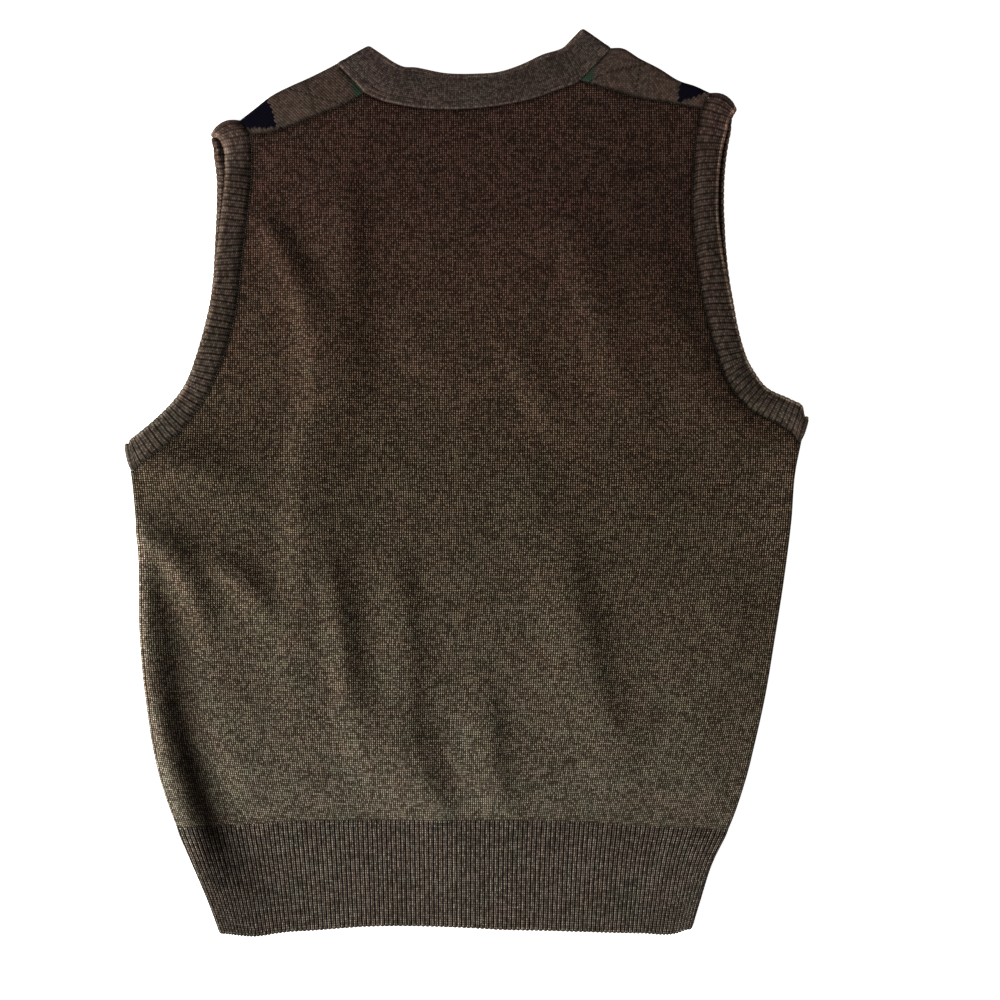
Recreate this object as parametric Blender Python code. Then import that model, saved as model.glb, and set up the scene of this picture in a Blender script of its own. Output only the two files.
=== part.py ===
"""
Knitted sweater vest, laid flat with its back up.

Sizes are in millimetres and become metres when a mesh is made. +X is the wearer's right,
+Y runs up the body to the neck, and +Z is up from the surface that the vest lies on.

The vest is a tube of cloth pressed flat. The front lies on the surface, the back lies on
the front, and the cloth turns over round folds at the sides, the shoulders, the underarms
and the two neck points. A place on the cloth is a point of the plan and a turn: 0 in the
layer that lies on the surface, pi in the top layer, and between the two round a fold.
"""

from collections import namedtuple
from math import cos, exp, hypot, pi, sin

import bmesh
import bpy
import numpy as np

MILLIMETRE = 0.001

# Cloth
JERSEY_WALL = 1.5
HEM_WALL = 1.5
ARMBAND_WALL = 2.2
NECKBAND_WALL = 2.4
FOLD_RADIUS = 3.0  # outer radius of every fold; the flat vest is twice this high
SEAM_GAP = 0.3

# Plan of the body. Each side is a fold from the underarm to the hem edge.
SideFold = namedtuple("SideFold", "y left right")
SIDE_FOLDS = (
    SideFold(31.0, -262.5, 257.3),
    SideFold(9.0, -258.5, 252.9),
    SideFold(-30.0, -254.6, 249.6),
    SideFold(-60.0, -252.3, 246.0),
    SideFold(-120.0, -250.9, 237.0),
    SideFold(-168.0, -246.2, 228.9),
    SideFold(-200.0, -242.0, 221.8),
    SideFold(-230.0, -235.2, 214.2),
    SideFold(-266.0, -222.6, 201.6),
    SideFold(-291.0, -211.6, 189.0),
    SideFold(-322.0, -198.4, 178.9),
    SideFold(-349.0, -188.5, 170.8),
)

# Height of the line where the hem rib is linked on, and of the hem's lower edge, at
# shares of the way from the left side to the right side.
HemLine = namedtuple("HemLine", "share seam edge")
HEM_LINES = (
    HemLine(0.000, -265.0, -347.2),
    HemLine(0.065, -264.1, -349.3),
    HemLine(0.130, -262.9, -346.2),
    HemLine(0.200, -260.4, -344.6),
    HemLine(0.300, -259.6, -341.9),
    HemLine(0.510, -259.6, -342.5),
    HemLine(0.600, -259.6, -344.2),
    HemLine(0.700, -260.2, -345.0),
    HemLine(0.800, -262.2, -346.1),
    HemLine(0.900, -264.9, -346.9),
    HemLine(0.980, -266.7, -346.6),
    HemLine(1.000, -267.2, -344.0),
)

# Edges of the bands on the back, from the shoulder fold on. The seam edge is linked to
# the panels and the free edge is open. On an armhole the second row is the end of the
# shoulder seam and the last row is the underarm fold.
Rung = namedtuple("Rung", "seam_x seam_y free_x free_y")
ARMHOLES = {
    "left": (
        Rung(-174.1, 277.8, -196.5, 267.8),
        Rung(-166.5, 266.3, -188.6, 261.8),
        Rung(-165.2, 257.8, -185.9, 254.7),
        Rung(-164.9, 243.2, -185.1, 243.2),
        Rung(-167.5, 209.3, -187.3, 211.6),
        Rung(-171.9, 175.4, -192.3, 173.9),
        Rung(-177.5, 128.4, -197.7, 132.3),
        Rung(-186.6, 96.1, -207.7, 98.4),
        Rung(-202.0, 62.2, -219.0, 70.7),
        Rung(-227.8, 31.0, -240.6, 46.0),
        Rung(-242.6, 19.1, -253.6, 35.4),
        Rung(-258.5, 8.7, -262.8, 28.8),
    ),
    "right": (
        Rung(187.1, 298.8, 207.4, 287.1),
        Rung(181.2, 286.3, 202.0, 279.4),
        Rung(177.7, 274.0, 198.9, 269.3),
        Rung(175.8, 258.6, 196.4, 257.0),
        Rung(173.5, 209.3, 193.9, 210.8),
        Rung(177.3, 166.9, 198.9, 169.2),
        Rung(182.2, 136.9, 204.3, 136.9),
        Rung(190.3, 104.6, 212.0, 106.1),
        Rung(202.7, 72.2, 221.2, 84.5),
        Rung(215.1, 57.2, 228.9, 73.0),
        Rung(241.1, 43.0, 249.6, 62.4),
        Rung(250.5, 36.6, 258.0, 57.8),
        Rung(257.3, 31.0, 262.8, 49.6),
    ),
}

ARMBAND_SHOULDER_BOW = 3.4  # how far a band's middle stands out where it crosses the shoulder

# The neckband's back, from the left shoulder fold to the right one. The shoulder seams
# end on the third row and on the third row from the end.
NECK_BACK = (
    Rung(-99.1, 321.7, -74.6, 336.0),
    Rung(-88.3, 308.6, -69.5, 332.8),
    Rung(-78.3, 300.1, -60.8, 324.9),
    Rung(-65.5, 294.0, -50.6, 319.4),
    Rung(-46.0, 289.6, -39.0, 318.3),
    Rung(-14.6, 287.1, -13.6, 314.3),
    Rung(7.5, 288.1, 6.4, 314.2),
    Rung(29.5, 290.7, 25.3, 315.8),
    Rung(51.8, 295.8, 44.1, 321.7),
    Rung(66.5, 300.9, 57.2, 327.5),
    Rung(87.1, 309.4, 75.3, 333.7),
    Rung(98.8, 320.9, 82.6, 343.3),
    Rung(110.6, 333.4, 88.6, 349.2),
)

# The front's V neck, in the layer that lies on the surface
V_POINT_X = 1.0
V_SEAM_Y = 94.0  # lowest place of the seam edge
V_FREE_Y = 160.5  # lowest place of the free edge
V_BOW = 4.0  # how far each leg of the V bows outward
V_FLAT = 3.0  # width of the blunt point

# The shoulders, at shares of the way from the armhole to the neck: how far the fold
# rises above a straight line, and how far the shoulder seam sags below one.
Shoulder = namedtuple("Shoulder", "share fold_left fold_right seam_left seam_right")
SHOULDERS = (
    Shoulder(0.00, 0.0, 0.0, 0.0, 0.0),
    Shoulder(0.15, 2.2, 0.0, 3.4, 0.7),
    Shoulder(0.31, 4.5, -1.7, 5.0, 1.5),
    Shoulder(0.52, 3.4, 1.0, 4.4, 3.0),
    Shoulder(0.71, 1.5, 2.1, 4.1, 2.0),
    Shoulder(0.88, 0.4, 4.0, 3.4, 1.0),
    Shoulder(1.00, 0.0, 0.0, 0.0, 0.0),
)

# How far the front's armhole edges lie outside those of the back, by the distance along
# the seam from the shoulder fold
Peek = namedtuple("Peek", "distance left right")
PEEKS = (
    Peek(0.0, 0.0, 0.0),
    Peek(13.0, 7.0, 1.5),
    Peek(27.0, 8.9, 3.0),
    Peek(50.0, 6.4, 3.6),
    Peek(83.0, 3.5, 3.6),
    Peek(105.0, 1.3, 3.2),
    Peek(125.0, 0.0, 1.2),
    Peek(150.0, 0.0, 0.0),
)

# The way from a fold into the vest, in plan
SIDE_INWARD = {"left": np.array([1.0, 0.0]), "right": np.array([-1.0, 0.0])}
SHOULDER_INWARD = {"left": np.array([0.45, -0.893]), "right": np.array([-0.42, -0.908])}
OUTWARD_X = {"left": -1.0, "right": 1.0}

# Soft troughs and ridges of the back, each along a path in plan
Fold = namedtuple("Fold", "width height path")
FOLDS = (
    Fold(7.0, -2.3, ((-227.0, -75.0), (-223.0, -168.0), (-203.0, -255.0), (-186.0, -300.0))),
    Fold(9.0, 0.9, ((-243.0, -20.0), (-238.0, -120.0), (-228.0, -205.0))),
    Fold(12.0, 0.8, ((-130.0, 140.0), (-131.0, -90.0))),
    Fold(15.0, 0.5, ((-141.0, -95.0), (-79.0, -240.0))),
    Fold(18.0, -1.2, ((-85.0, -95.0), (-83.0, -205.0))),
    Fold(14.0, -1.3, ((-152.0, 240.0), (-160.0, 140.0), (-180.0, 80.0), (-225.0, 18.0))),
    Fold(14.0, -1.4, ((162.0, 255.0), (163.0, 170.0), (180.0, 95.0), (228.0, 32.0))),
    Fold(24.0, -0.9, ((120.0, 90.0), (195.0, 40.0))),
    Fold(70.0, -1.0, ((0.0, 235.0), (2.0, 160.0))),
    Fold(16.0, 0.6, ((60.0, 120.0), (84.0, -60.0), (70.0, -220.0))),
    Fold(20.0, -0.7, ((140.0, -40.0), (130.0, -230.0))),
    Fold(14.0, 0.7, ((228.0, 0.0), (212.0, -170.0))),
)
DEEPEST_TROUGH = -2.4  # keeps the back clear of the front beneath it

# Ribs are raised in the outer points of the walls that face up
HEM_RIBS = 118
HEM_RIB_LIFT = 0.8
ARMBAND_RIBS_PER_STEP = 3
ARMBAND_RIB_LIFT = 0.7
ARMBAND_RIB_PITCH_TOP = 4.9
ARMBAND_RIB_PITCH_UNDERARM = 2.9

# Height of each band's outer skin above the cloth beside it, across from seam to edge
Crown = namedtuple("Crown", "share height")
ARMBAND_CROWN = (Crown(0.0, 0.1), Crown(0.5, 0.9), Crown(1.0, -0.5))
NECKBAND_CROWN = (Crown(0.0, 0.5), Crown(0.22, 0.9), Crown(0.62, 0.7), Crown(1.0, -0.5))

# Mesh density. Columns run up a half of a panel, at shares from the side to the middle;
# the first five columns end at the shoulder.
COLUMN_SHARES = (0.0, 0.06, 0.11, 0.16, 0.28, 0.40, 0.46, 0.52, 0.60, 0.67, 0.78, 0.89, 1.0)
SHOULDER_COLUMNS = 5
BODY_ROWS = 10
ARMHOLE_ROWS = 23
V_ROWS = 14  # rows from the shoulder fold down to the point of the V
QUARTER_STEPS = 3  # mesh steps in a quarter of a fold
HEM_ROWS = 2

# Colours (linear) of the marled brown wool
JERSEY_COLOUR = (0.052, 0.039, 0.028, 1.0)
RIB_COLOUR = (0.048, 0.037, 0.028, 1.0)
NECKBAND_COLOUR = (0.041, 0.030, 0.023, 1.0)
WOOL_ROUGHNESS = 0.92

SIDES = ("left", "right")
SURFACE_LAYER = 0.0
TOP_LAYER = pi


def mix(first, second, share):
    """Point at a share of the way between two points."""
    return np.asarray(first) + (np.asarray(second) - np.asarray(first)) * share


def table_value(rows, by, column, at):
    """Value of one column of a table, straight between its rows."""
    places = [getattr(row, by) for row in rows]
    values = [getattr(row, column) for row in rows]
    if places[0] > places[-1]:
        places.reverse()
        values.reverse()
    return float(np.interp(at, places, values))


def smooth_curve(rungs):
    """Distances of the rungs along their seam edge, and a smooth walk through them."""
    points = np.array(rungs)
    steps = np.hypot(np.diff(points[:, 0]), np.diff(points[:, 1]))
    marks = np.concatenate(([0.0], np.cumsum(steps)))
    slopes = np.gradient(points, marks, axis=0)

    def walk(distance):
        row = int(np.clip(np.searchsorted(marks, distance, side="right") - 1, 0, len(marks) - 2))
        span = marks[row + 1] - marks[row]
        t = (distance - marks[row]) / span
        start = points[row] * (2 * t**3 - 3 * t**2 + 1) + slopes[row] * span * (t**3 - 2 * t**2 + t)
        end = points[row + 1] * (3 * t**2 - 2 * t**3) + slopes[row + 1] * span * (t**3 - t**2)
        return start + end

    return marks, walk


def distance_to_path(x, y, path):
    """Distance from a place in plan to the nearest stretch of a path."""
    nearest = float("inf")
    for (start_x, start_y), (end_x, end_y) in zip(path, path[1:]):
        run_x = end_x - start_x
        run_y = end_y - start_y
        along = ((x - start_x) * run_x + (y - start_y) * run_y) / (run_x**2 + run_y**2)
        along = min(max(along, 0.0), 1.0)
        nearest = min(nearest, hypot(x - start_x - along * run_x, y - start_y - along * run_y))
    return nearest


def puff(place):
    """Height of the top layer's soft folds at a place in plan."""
    total = sum(
        fold.height * exp(-((distance_to_path(place[0], place[1], fold.path) / fold.width) ** 2))
        for fold in FOLDS
    )
    return max(total, DEEPEST_TROUGH)


def round_fold(fold_place, inward, turn):
    """Place in plan of the outer skin at a turn round a fold."""
    return np.asarray(fold_place) + inward * FOLD_RADIUS * (1.0 - sin(turn))


def skins(place, turn, inward, wall, lift=0.0):
    """Outer and inner point of the wall at a place. lift raises the outer point alone."""
    into_wall = np.array([inward[0] * sin(turn), inward[1] * sin(turn), cos(turn)])
    outer = np.array([place[0], place[1], FOLD_RADIUS * (1.0 - cos(turn))])
    rise = puff(place) * max(-cos(turn), 0.0)
    outer = outer - into_wall * rise
    return outer - into_wall * lift, outer + into_wall * wall


def peek(side, distance):
    """How far the front's armhole edge lies outside that of the back."""
    return table_value(PEEKS, "distance", side, distance)


def armhole_rungs(side, turn):
    """Rungs of an armhole in one layer, from the shoulder fold to the underarm fold."""
    marks, walk = smooth_curve(ARMHOLES[side])
    top_pitch = ARMBAND_RIB_PITCH_TOP
    pitch_fall = ARMBAND_RIB_PITCH_TOP - ARMBAND_RIB_PITCH_UNDERARM
    full = top_pitch - pitch_fall / 2
    distances = [0.0]
    for row in range(ARMHOLE_ROWS + 1):
        share = row / ARMHOLE_ROWS
        eased = (top_pitch * share - pitch_fall / 2 * share**2) / full
        distances.append(marks[1] + (marks[-1] - marks[1]) * eased)
    rungs = []
    for distance in distances:
        rung = walk(distance)
        if turn == SURFACE_LAYER:
            rung[[0, 2]] += OUTWARD_X[side] * peek(side, distance)
        rungs.append((rung[:2], rung[2:]))
    rungs[0] = tuple(round_fold(end, SHOULDER_INWARD[side], turn) for end in rungs[0])
    rungs[-1] = tuple(round_fold(end, SIDE_INWARD[side], turn) for end in rungs[-1])
    return rungs, distances


def neck_corner(side):
    """The rung of the neckband that lies on a shoulder fold."""
    rung = NECK_BACK[0] if side == "left" else NECK_BACK[-1]
    return np.array(rung[:2]), np.array(rung[2:])


def neck_back_rungs(side):
    """Rungs of the neckband's back, from the shoulder seam to the middle."""
    marks, walk = smooth_curve(NECK_BACK)
    seam_end = marks[2] if side == "left" else marks[-3]
    middle = (marks[2] + marks[-3]) / 2 + OUTWARD_X[side] * V_FLAT / 2
    rungs = []
    for share in COLUMN_SHARES[SHOULDER_COLUMNS:]:
        way = (share - COLUMN_SHARES[SHOULDER_COLUMNS]) / (1 - COLUMN_SHARES[SHOULDER_COLUMNS])
        rung = walk(seam_end + (middle - seam_end) * way)
        rungs.append((rung[:2], rung[2:]))
    return rungs


def v_rungs(side):
    """Rungs of the V neck in the lower layer, from the shoulder fold to the point."""
    distances = armhole_rungs(side, SURFACE_LAYER)[1]
    rungs = []
    for row in range(V_ROWS + 1):
        share = distances[row] / distances[V_ROWS]
        ends = []
        for corner, foot_y in zip(neck_corner(side), (V_SEAM_Y, V_FREE_Y)):
            start = round_fold(corner, SHOULDER_INWARD[side], SURFACE_LAYER)
            foot = np.array([V_POINT_X + OUTWARD_X[side] * V_FLAT / 2, foot_y])
            place = mix(start, foot, share)
            place[0] += OUTWARD_X[side] * V_BOW * sin(pi * share)
            ends.append(place)
        rungs.append(tuple(ends))
    return rungs


def side_line(side):
    """Places where the side fold meets the flat layers, from the hem seam to the underarm."""
    low = HEM_LINES[0].seam if side == "left" else HEM_LINES[-1].seam
    high = ARMHOLES[side][-1].seam_y
    line = []
    for row in range(BODY_ROWS + 1):
        y = low + (high - low) * row / BODY_ROWS
        x = table_value(SIDE_FOLDS, "y", side, y)
        line.append(round_fold((x, y), SIDE_INWARD[side], TOP_LAYER))
    line[-1] = round_fold(ARMHOLES[side][-1][:2], SIDE_INWARD[side], TOP_LAYER)
    return line


def foot_line(side):
    """Lower edge of a panel's half, from the side to the middle."""
    starts = {name: side_line(name)[0] for name in SIDES}
    span = starts["right"][0] - starts["left"][0]
    middle_x = sum(start[0] for start in starts.values()) / 2 + OUTWARD_X[side] * V_FLAT / 2
    line = [starts[side]]
    for share in COLUMN_SHARES[1:]:
        x = starts[side][0] + (middle_x - starts[side][0]) * share
        across = (x - starts["left"][0]) / span
        line.append(np.array([x, table_value(HEM_LINES, "share", "seam", across)]))
    return line


def shoulder_seam_line(side):
    """The back's shoulder seam, from the armhole to the neck, a place for each column."""
    start = armhole_rungs(side, TOP_LAYER)[0][1][0]
    end = neck_back_rungs(side)[0][0]
    line = []
    for share in COLUMN_SHARES[: SHOULDER_COLUMNS + 1]:
        way = share / COLUMN_SHARES[SHOULDER_COLUMNS]
        sag = table_value(SHOULDERS, "share", "seam_" + side, way)
        line.append(mix(start, end, way) - np.array([0.0, sag]))
    return line


def shoulder_fold_line(side):
    """The shoulder fold, from the armhole to the neck, a place for each column."""
    start = np.array(ARMHOLES[side][0][:2])
    end = neck_corner(side)[0]
    line = []
    for share in COLUMN_SHARES:
        rise = table_value(SHOULDERS, "share", "fold_" + side, share)
        line.append(mix(start, end, share) + np.array([0.0, rise]))
    return line


def heights_of(lines):
    """Mean share of the way up, row by row, along some lines."""
    shares = []
    for line in lines:
        steps = [hypot(*(high - low)) for low, high in zip(line, line[1:])]
        marks = np.concatenate(([0.0], np.cumsum(steps)))
        shares.append(marks / marks[-1])
    return np.mean(shares, axis=0)


def patch(edge, middle, foot, top, heights):
    """Rows of places in plan that fill a half panel between its four edges."""
    rows = []
    for row, height in enumerate(heights):
        places = []
        for column, share in enumerate(COLUMN_SHARES):
            foot_bow = foot[column] - mix(foot[0], foot[-1], share)
            top_bow = top[column] - mix(top[0], top[-1], share)
            straight = mix(edge[row], middle[row], share)
            places.append(straight + foot_bow * (1 - height) + top_bow * height)
        rows.append(places)
    return rows


def half_panels(turn):
    """The rows of places of both halves of the back or of the front's lower layer."""
    rungs = {side: armhole_rungs(side, turn)[0] for side in SIDES}
    top_rung = 1 if turn == TOP_LAYER else 0
    edges = {}
    for side in SIDES:
        seams = [rung[0] for rung in rungs[side][top_rung:-1]]
        edges[side] = side_line(side) + seams[::-1]
    heights = heights_of(edges.values())
    halves = {}
    for side in SIDES:
        foot = foot_line(side)
        if turn == TOP_LAYER:
            top = shoulder_seam_line(side) + [rung[0] for rung in neck_back_rungs(side)[1:]]
            middle = [mix(foot[-1], top[-1], height) for height in heights]
        else:
            inward = SHOULDER_INWARD[side]
            top = [round_fold(place, inward, turn) for place in shoulder_fold_line(side)]
            leg = [rung[0] for rung in v_rungs(side)][::-1]
            point_row = len(heights) - len(leg)
            middle = [
                mix(foot[-1], leg[0], height / heights[point_row]) for height in heights[:point_row]
            ]
            middle += leg
        halves[side] = patch(edges[side], middle, foot, top, heights)
    return halves


def quarter_turns(turn):
    """Turns from the middle of a fold towards a flat layer, without the last one."""
    steps = [step / QUARTER_STEPS for step in range(QUARTER_STEPS)]
    return [pi / 2 + (turn - pi / 2) * step for step in steps]


def side_gap(turn, flat_turn):
    """Shift that parts the front from the back in the middle of a side fold."""
    if turn != pi / 2:
        return np.zeros(3)
    return np.array([0.0, 0.0, SEAM_GAP / 2 if flat_turn == TOP_LAYER else -SEAM_GAP / 2])


def panel_row(places, turn):
    """Skin points of one row of a panel, round the left side fold to the right one."""
    row = []
    for side in SIDES:
        inward = SIDE_INWARD[side]
        fold = places[side][0] - inward * FOLD_RADIUS
        points = []
        for fold_turn in quarter_turns(turn):
            pair = skins(round_fold(fold, inward, fold_turn), fold_turn, inward, JERSEY_WALL)
            shift = side_gap(fold_turn, turn)
            points.append(tuple(point + shift for point in pair))
        points += [skins(place, turn, inward, JERSEY_WALL) for place in places[side]]
        row.append(points)
    return row[0] + row[1][::-1]


def panel_rows(turn):
    """Skin points of a panel's flat layer, from the hem seam up."""
    halves = half_panels(turn)
    return [
        panel_row({side: halves[side][row] for side in SIDES}, turn)
        for row in range(len(halves["left"]))
    ]


def shoulder_row(places, turn):
    """Skin points of one row of the front's two shoulders, from places in plan."""
    row = []
    for side in SIDES:
        pairs = [skins(place, turn, SHOULDER_INWARD[side], JERSEY_WALL) for place in places[side]]
        row.append([pairs[0]] * QUARTER_STEPS + pairs)
    return row[0] + row[1][::-1]


def shoulder_rows():
    """The front's shoulders, round the shoulder fold and down to the seam on the back."""
    rows = []
    for step in range(1, 2 * QUARTER_STEPS + 1):
        turn = pi * step / (2 * QUARTER_STEPS)
        places = {
            side: [
                round_fold(place, SHOULDER_INWARD[side], turn) for place in shoulder_fold_line(side)
            ]
            for side in SIDES
        }
        rows.append(shoulder_row(places, turn))
    marks = COLUMN_SHARES[: SHOULDER_COLUMNS + 1]
    places = {}
    for side in SIDES:
        seam = np.array(shoulder_seam_line(side))
        ways = np.array(COLUMN_SHARES) * marks[-1]
        line = np.column_stack([np.interp(ways, marks, seam[:, axis]) for axis in (0, 1)])
        places[side] = line - SHOULDER_INWARD[side] * SEAM_GAP
    rows.append(shoulder_row(places, TOP_LAYER))
    return rows


def finish(name, mesh_data, colour):
    """Put a closed bmesh into the scene as one named piece with its own material."""
    bmesh.ops.recalc_face_normals(mesh_data, faces=mesh_data.faces[:])
    if mesh_data.calc_volume(signed=True) < 0:
        bmesh.ops.reverse_faces(mesh_data, faces=mesh_data.faces[:])
    bmesh.ops.scale(mesh_data, vec=[MILLIMETRE] * 3, verts=mesh_data.verts[:])
    mesh = bpy.data.meshes.new(name)
    mesh_data.to_mesh(mesh)
    mesh_data.free()
    material = bpy.data.materials.new(name + "_wool")
    material.use_nodes = True
    shader = material.node_tree.nodes["Principled BSDF"]
    shader.inputs["Base Color"].default_value = colour
    shader.inputs["Roughness"].default_value = WOOL_ROUGHNESS
    shader.inputs["Metallic"].default_value = 0.0
    mesh.materials.append(material)
    piece = bpy.data.objects.new(name, mesh)
    vest_collection.objects.link(piece)
    return piece


def indexed_grid(columns, rows):
    """A grid whose points know their column and row."""
    grid = bmesh.new()
    column_of = grid.verts.layers.int.new("column")
    row_of = grid.verts.layers.int.new("row")
    bmesh.ops.create_grid(grid, x_segments=columns, y_segments=rows, size=0.5)
    for vert in grid.verts:
        vert[column_of] = round((vert.co.x + 0.5) * columns)
        vert[row_of] = round((vert.co.y + 0.5) * rows)
    return grid, column_of, row_of


def make_wall(name, pairs, is_cut, colour):
    """A cloth wall from rows of outer and inner points. is_cut tells which faces go."""
    grid, column_of, row_of = indexed_grid(len(pairs[0]) - 1, len(pairs) - 1)
    cut_away = []
    for face in grid.faces:
        column = min(vert[column_of] for vert in face.verts)
        row = min(vert[row_of] for vert in face.verts)
        if is_cut(column, row):
            cut_away.append(face)
    bmesh.ops.delete(grid, geom=cut_away, context="FACES")
    extruded = bmesh.ops.extrude_face_region(grid, geom=grid.faces[:])["geom"]
    inner_verts = {item for item in extruded if isinstance(item, bmesh.types.BMVert)}
    for vert in grid.verts:
        outer, inner = pairs[vert[row_of]][vert[column_of]]
        vert.co = inner if vert in inner_verts else outer
    return finish(name, grid, colour)


def above_side_fold(column, row, last_column):
    """Whether a face would lie beside the armhole, where a panel has no side fold."""
    in_fold = column < QUARTER_STEPS or column >= last_column - QUARTER_STEPS
    return in_fold and row >= BODY_ROWS


def make_back_panel():
    """The back: the whole top layer between the bands, the hem and the shoulder seams."""
    pairs = panel_rows(TOP_LAYER)
    last = len(pairs[0]) - 1

    def is_cut(column, row):
        return above_side_fold(column, row, last)

    return make_wall("back_panel", pairs, is_cut, JERSEY_COLOUR)


def make_front_panel():
    """The front: the lower layer with its V neck, and the shoulders that wrap over."""
    pairs = panel_rows(SURFACE_LAYER)
    point_row = len(pairs) - 1 - V_ROWS
    pairs += shoulder_rows()
    last = len(pairs[0]) - 1
    middle = QUARTER_STEPS + len(COLUMN_SHARES) - 1

    def is_cut(column, row):
        in_neck = column == middle and row >= point_row
        return in_neck or above_side_fold(column, row, last)

    return make_wall("front_panel", pairs, is_cut, JERSEY_COLOUR)


def hem_place(share, left_x, right_x, flat_turn):
    """Place across one half of the hem: x, turn, and the way inward."""
    quarter = FOLD_RADIUS * pi / 2
    flat = right_x - left_x - 2 * FOLD_RADIUS
    along = share * (flat + 2 * quarter)
    from_right = flat + 2 * quarter - along
    toward_flat = flat_turn - pi / 2
    if along < quarter:
        turn = pi / 2 + toward_flat * along / quarter
        return left_x + FOLD_RADIUS * (1 - sin(turn)), turn, SIDE_INWARD["left"]
    if from_right < quarter:
        turn = pi / 2 + toward_flat * from_right / quarter
        return right_x - FOLD_RADIUS * (1 - sin(turn)), turn, SIDE_INWARD["right"]
    return left_x + FOLD_RADIUS + along - quarter, flat_turn, SIDE_INWARD["left"]


def make_hem_rib(name, flat_turn, rib_lift):
    """Half of the hem, from side seam to side seam, hung just below its panel."""
    columns = 2 * HEM_RIBS
    seam_line = np.array(foot_line("left") + foot_line("right")[::-1])
    ends = {"left": HEM_LINES[0], "right": HEM_LINES[-1]}
    pairs = []
    for row in range(HEM_ROWS + 1):
        down = row / HEM_ROWS
        sides = {}
        for side, end in ends.items():
            level = end.seam + (end.edge - end.seam) * down
            sides[side] = table_value(SIDE_FOLDS, "y", side, level)
        flat_width = sides["right"] - sides["left"] - 2 * FOLD_RADIUS
        pair_row = []
        for column in range(columns + 1):
            x, turn, inward = hem_place(
                column / columns, sides["left"], sides["right"], flat_turn
            )
            across = min(max((x - sides["left"] - FOLD_RADIUS) / flat_width, 0.0), 1.0)
            seam_x = seam_line[0, 0] + (seam_line[-1, 0] - seam_line[0, 0]) * across
            seam_y = np.interp(seam_x, seam_line[:, 0], seam_line[:, 1]) - SEAM_GAP
            edge_y = table_value(HEM_LINES, "share", "edge", across)
            place = (x, seam_y + (edge_y - seam_y) * down)
            pair = skins(place, turn, inward, HEM_WALL, rib_lift if column % 2 else 0.0)
            shift = side_gap(turn, flat_turn)
            pair_row.append(tuple(point + shift for point in pair))
        pairs.append(pair_row)
    return make_wall(name, pairs, lambda column, row: False, RIB_COLOUR)


def band_section(rung, turn, inward, wall, crown, rib_lift=0.0, bow=0.0):
    """Points round a band's section: the outer skin from seam to edge, then the inner."""
    seam, free = rung
    across = free - seam
    seam = seam + across * SEAM_GAP / hypot(*across)
    rise = max(-cos(turn), 0.0)
    outer_skin = []
    inner_skin = []
    for step in crown:
        place = mix(seam, free, step.share) - inward * bow * sin(pi * step.share)
        lift = step.height * rise + rib_lift
        outer, inner = skins(place, turn, inward, wall, lift)
        outer_skin.append(outer)
        inner_skin.append(inner)
    return outer_skin + inner_skin[::-1]


def fold_sections(rung, inward, turns, wall, crown, bow=0.0):
    """Sections of a band round a fold, between the two flat layers."""
    sections = []
    for turn in turns:
        turned = tuple(round_fold(end, inward, turn) for end in rung)
        sections.append(band_section(turned, turn, inward, wall, crown, bow=bow))
    return sections


def make_ring(name, sections, colour):
    """A closed band from its sections: a grid rolled up both ways and welded."""
    grid, column_of, row_of = indexed_grid(len(sections), len(sections[0]))
    for vert in grid.verts:
        section = sections[vert[column_of] % len(sections)]
        vert.co = section[vert[row_of] % len(section)]
    bmesh.ops.remove_doubles(grid, verts=grid.verts[:], dist=1e-4)
    return finish(name, grid, colour)


def make_armhole_band(side):
    """A rib band round an armhole, folded at the shoulder and at the underarm."""
    wall = ARMBAND_WALL
    crown = ARMBAND_CROWN
    bow = ARMBAND_SHOULDER_BOW
    down_turns = [pi * step / (2 * QUARTER_STEPS) for step in range(2 * QUARTER_STEPS - 1, 0, -1)]
    upper = armhole_rungs(side, TOP_LAYER)[0]
    steps = 2 * ARMBAND_RIBS_PER_STEP
    sections = []
    for row, (start, end) in enumerate(zip(upper, upper[1:])):
        for step in range(steps):
            rung = tuple(mix(low, high, step / steps) for low, high in zip(start, end))
            lift = ARMBAND_RIB_LIFT if step % 2 else 0.0
            row_bow = bow * (1 - step / steps) if row == 0 else 0.0
            inward = SHOULDER_INWARD[side]
            sections.append(band_section(rung, TOP_LAYER, inward, wall, crown, lift, row_bow))
    sections.append(band_section(upper[-1], TOP_LAYER, SIDE_INWARD[side], wall, crown))
    last = ARMHOLES[side][-1]
    underarm = (np.array(last[:2]), np.array(last[2:]))
    sections += fold_sections(underarm, SIDE_INWARD[side], down_turns, wall, crown)
    lower = armhole_rungs(side, SURFACE_LAYER)[0]
    for rung in lower[:0:-1]:
        sections.append(band_section(rung, SURFACE_LAYER, SIDE_INWARD[side], wall, crown))
    inward = SHOULDER_INWARD[side]
    sections.append(band_section(lower[0], SURFACE_LAYER, inward, wall, crown, bow=bow))
    first = ARMHOLES[side][0]
    shoulder = (np.array(first[:2]), np.array(first[2:]))
    sections += fold_sections(shoulder, inward, down_turns[::-1], wall, crown, bow)
    return make_ring("armhole_band_" + side, sections, RIB_COLOUR)


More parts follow.
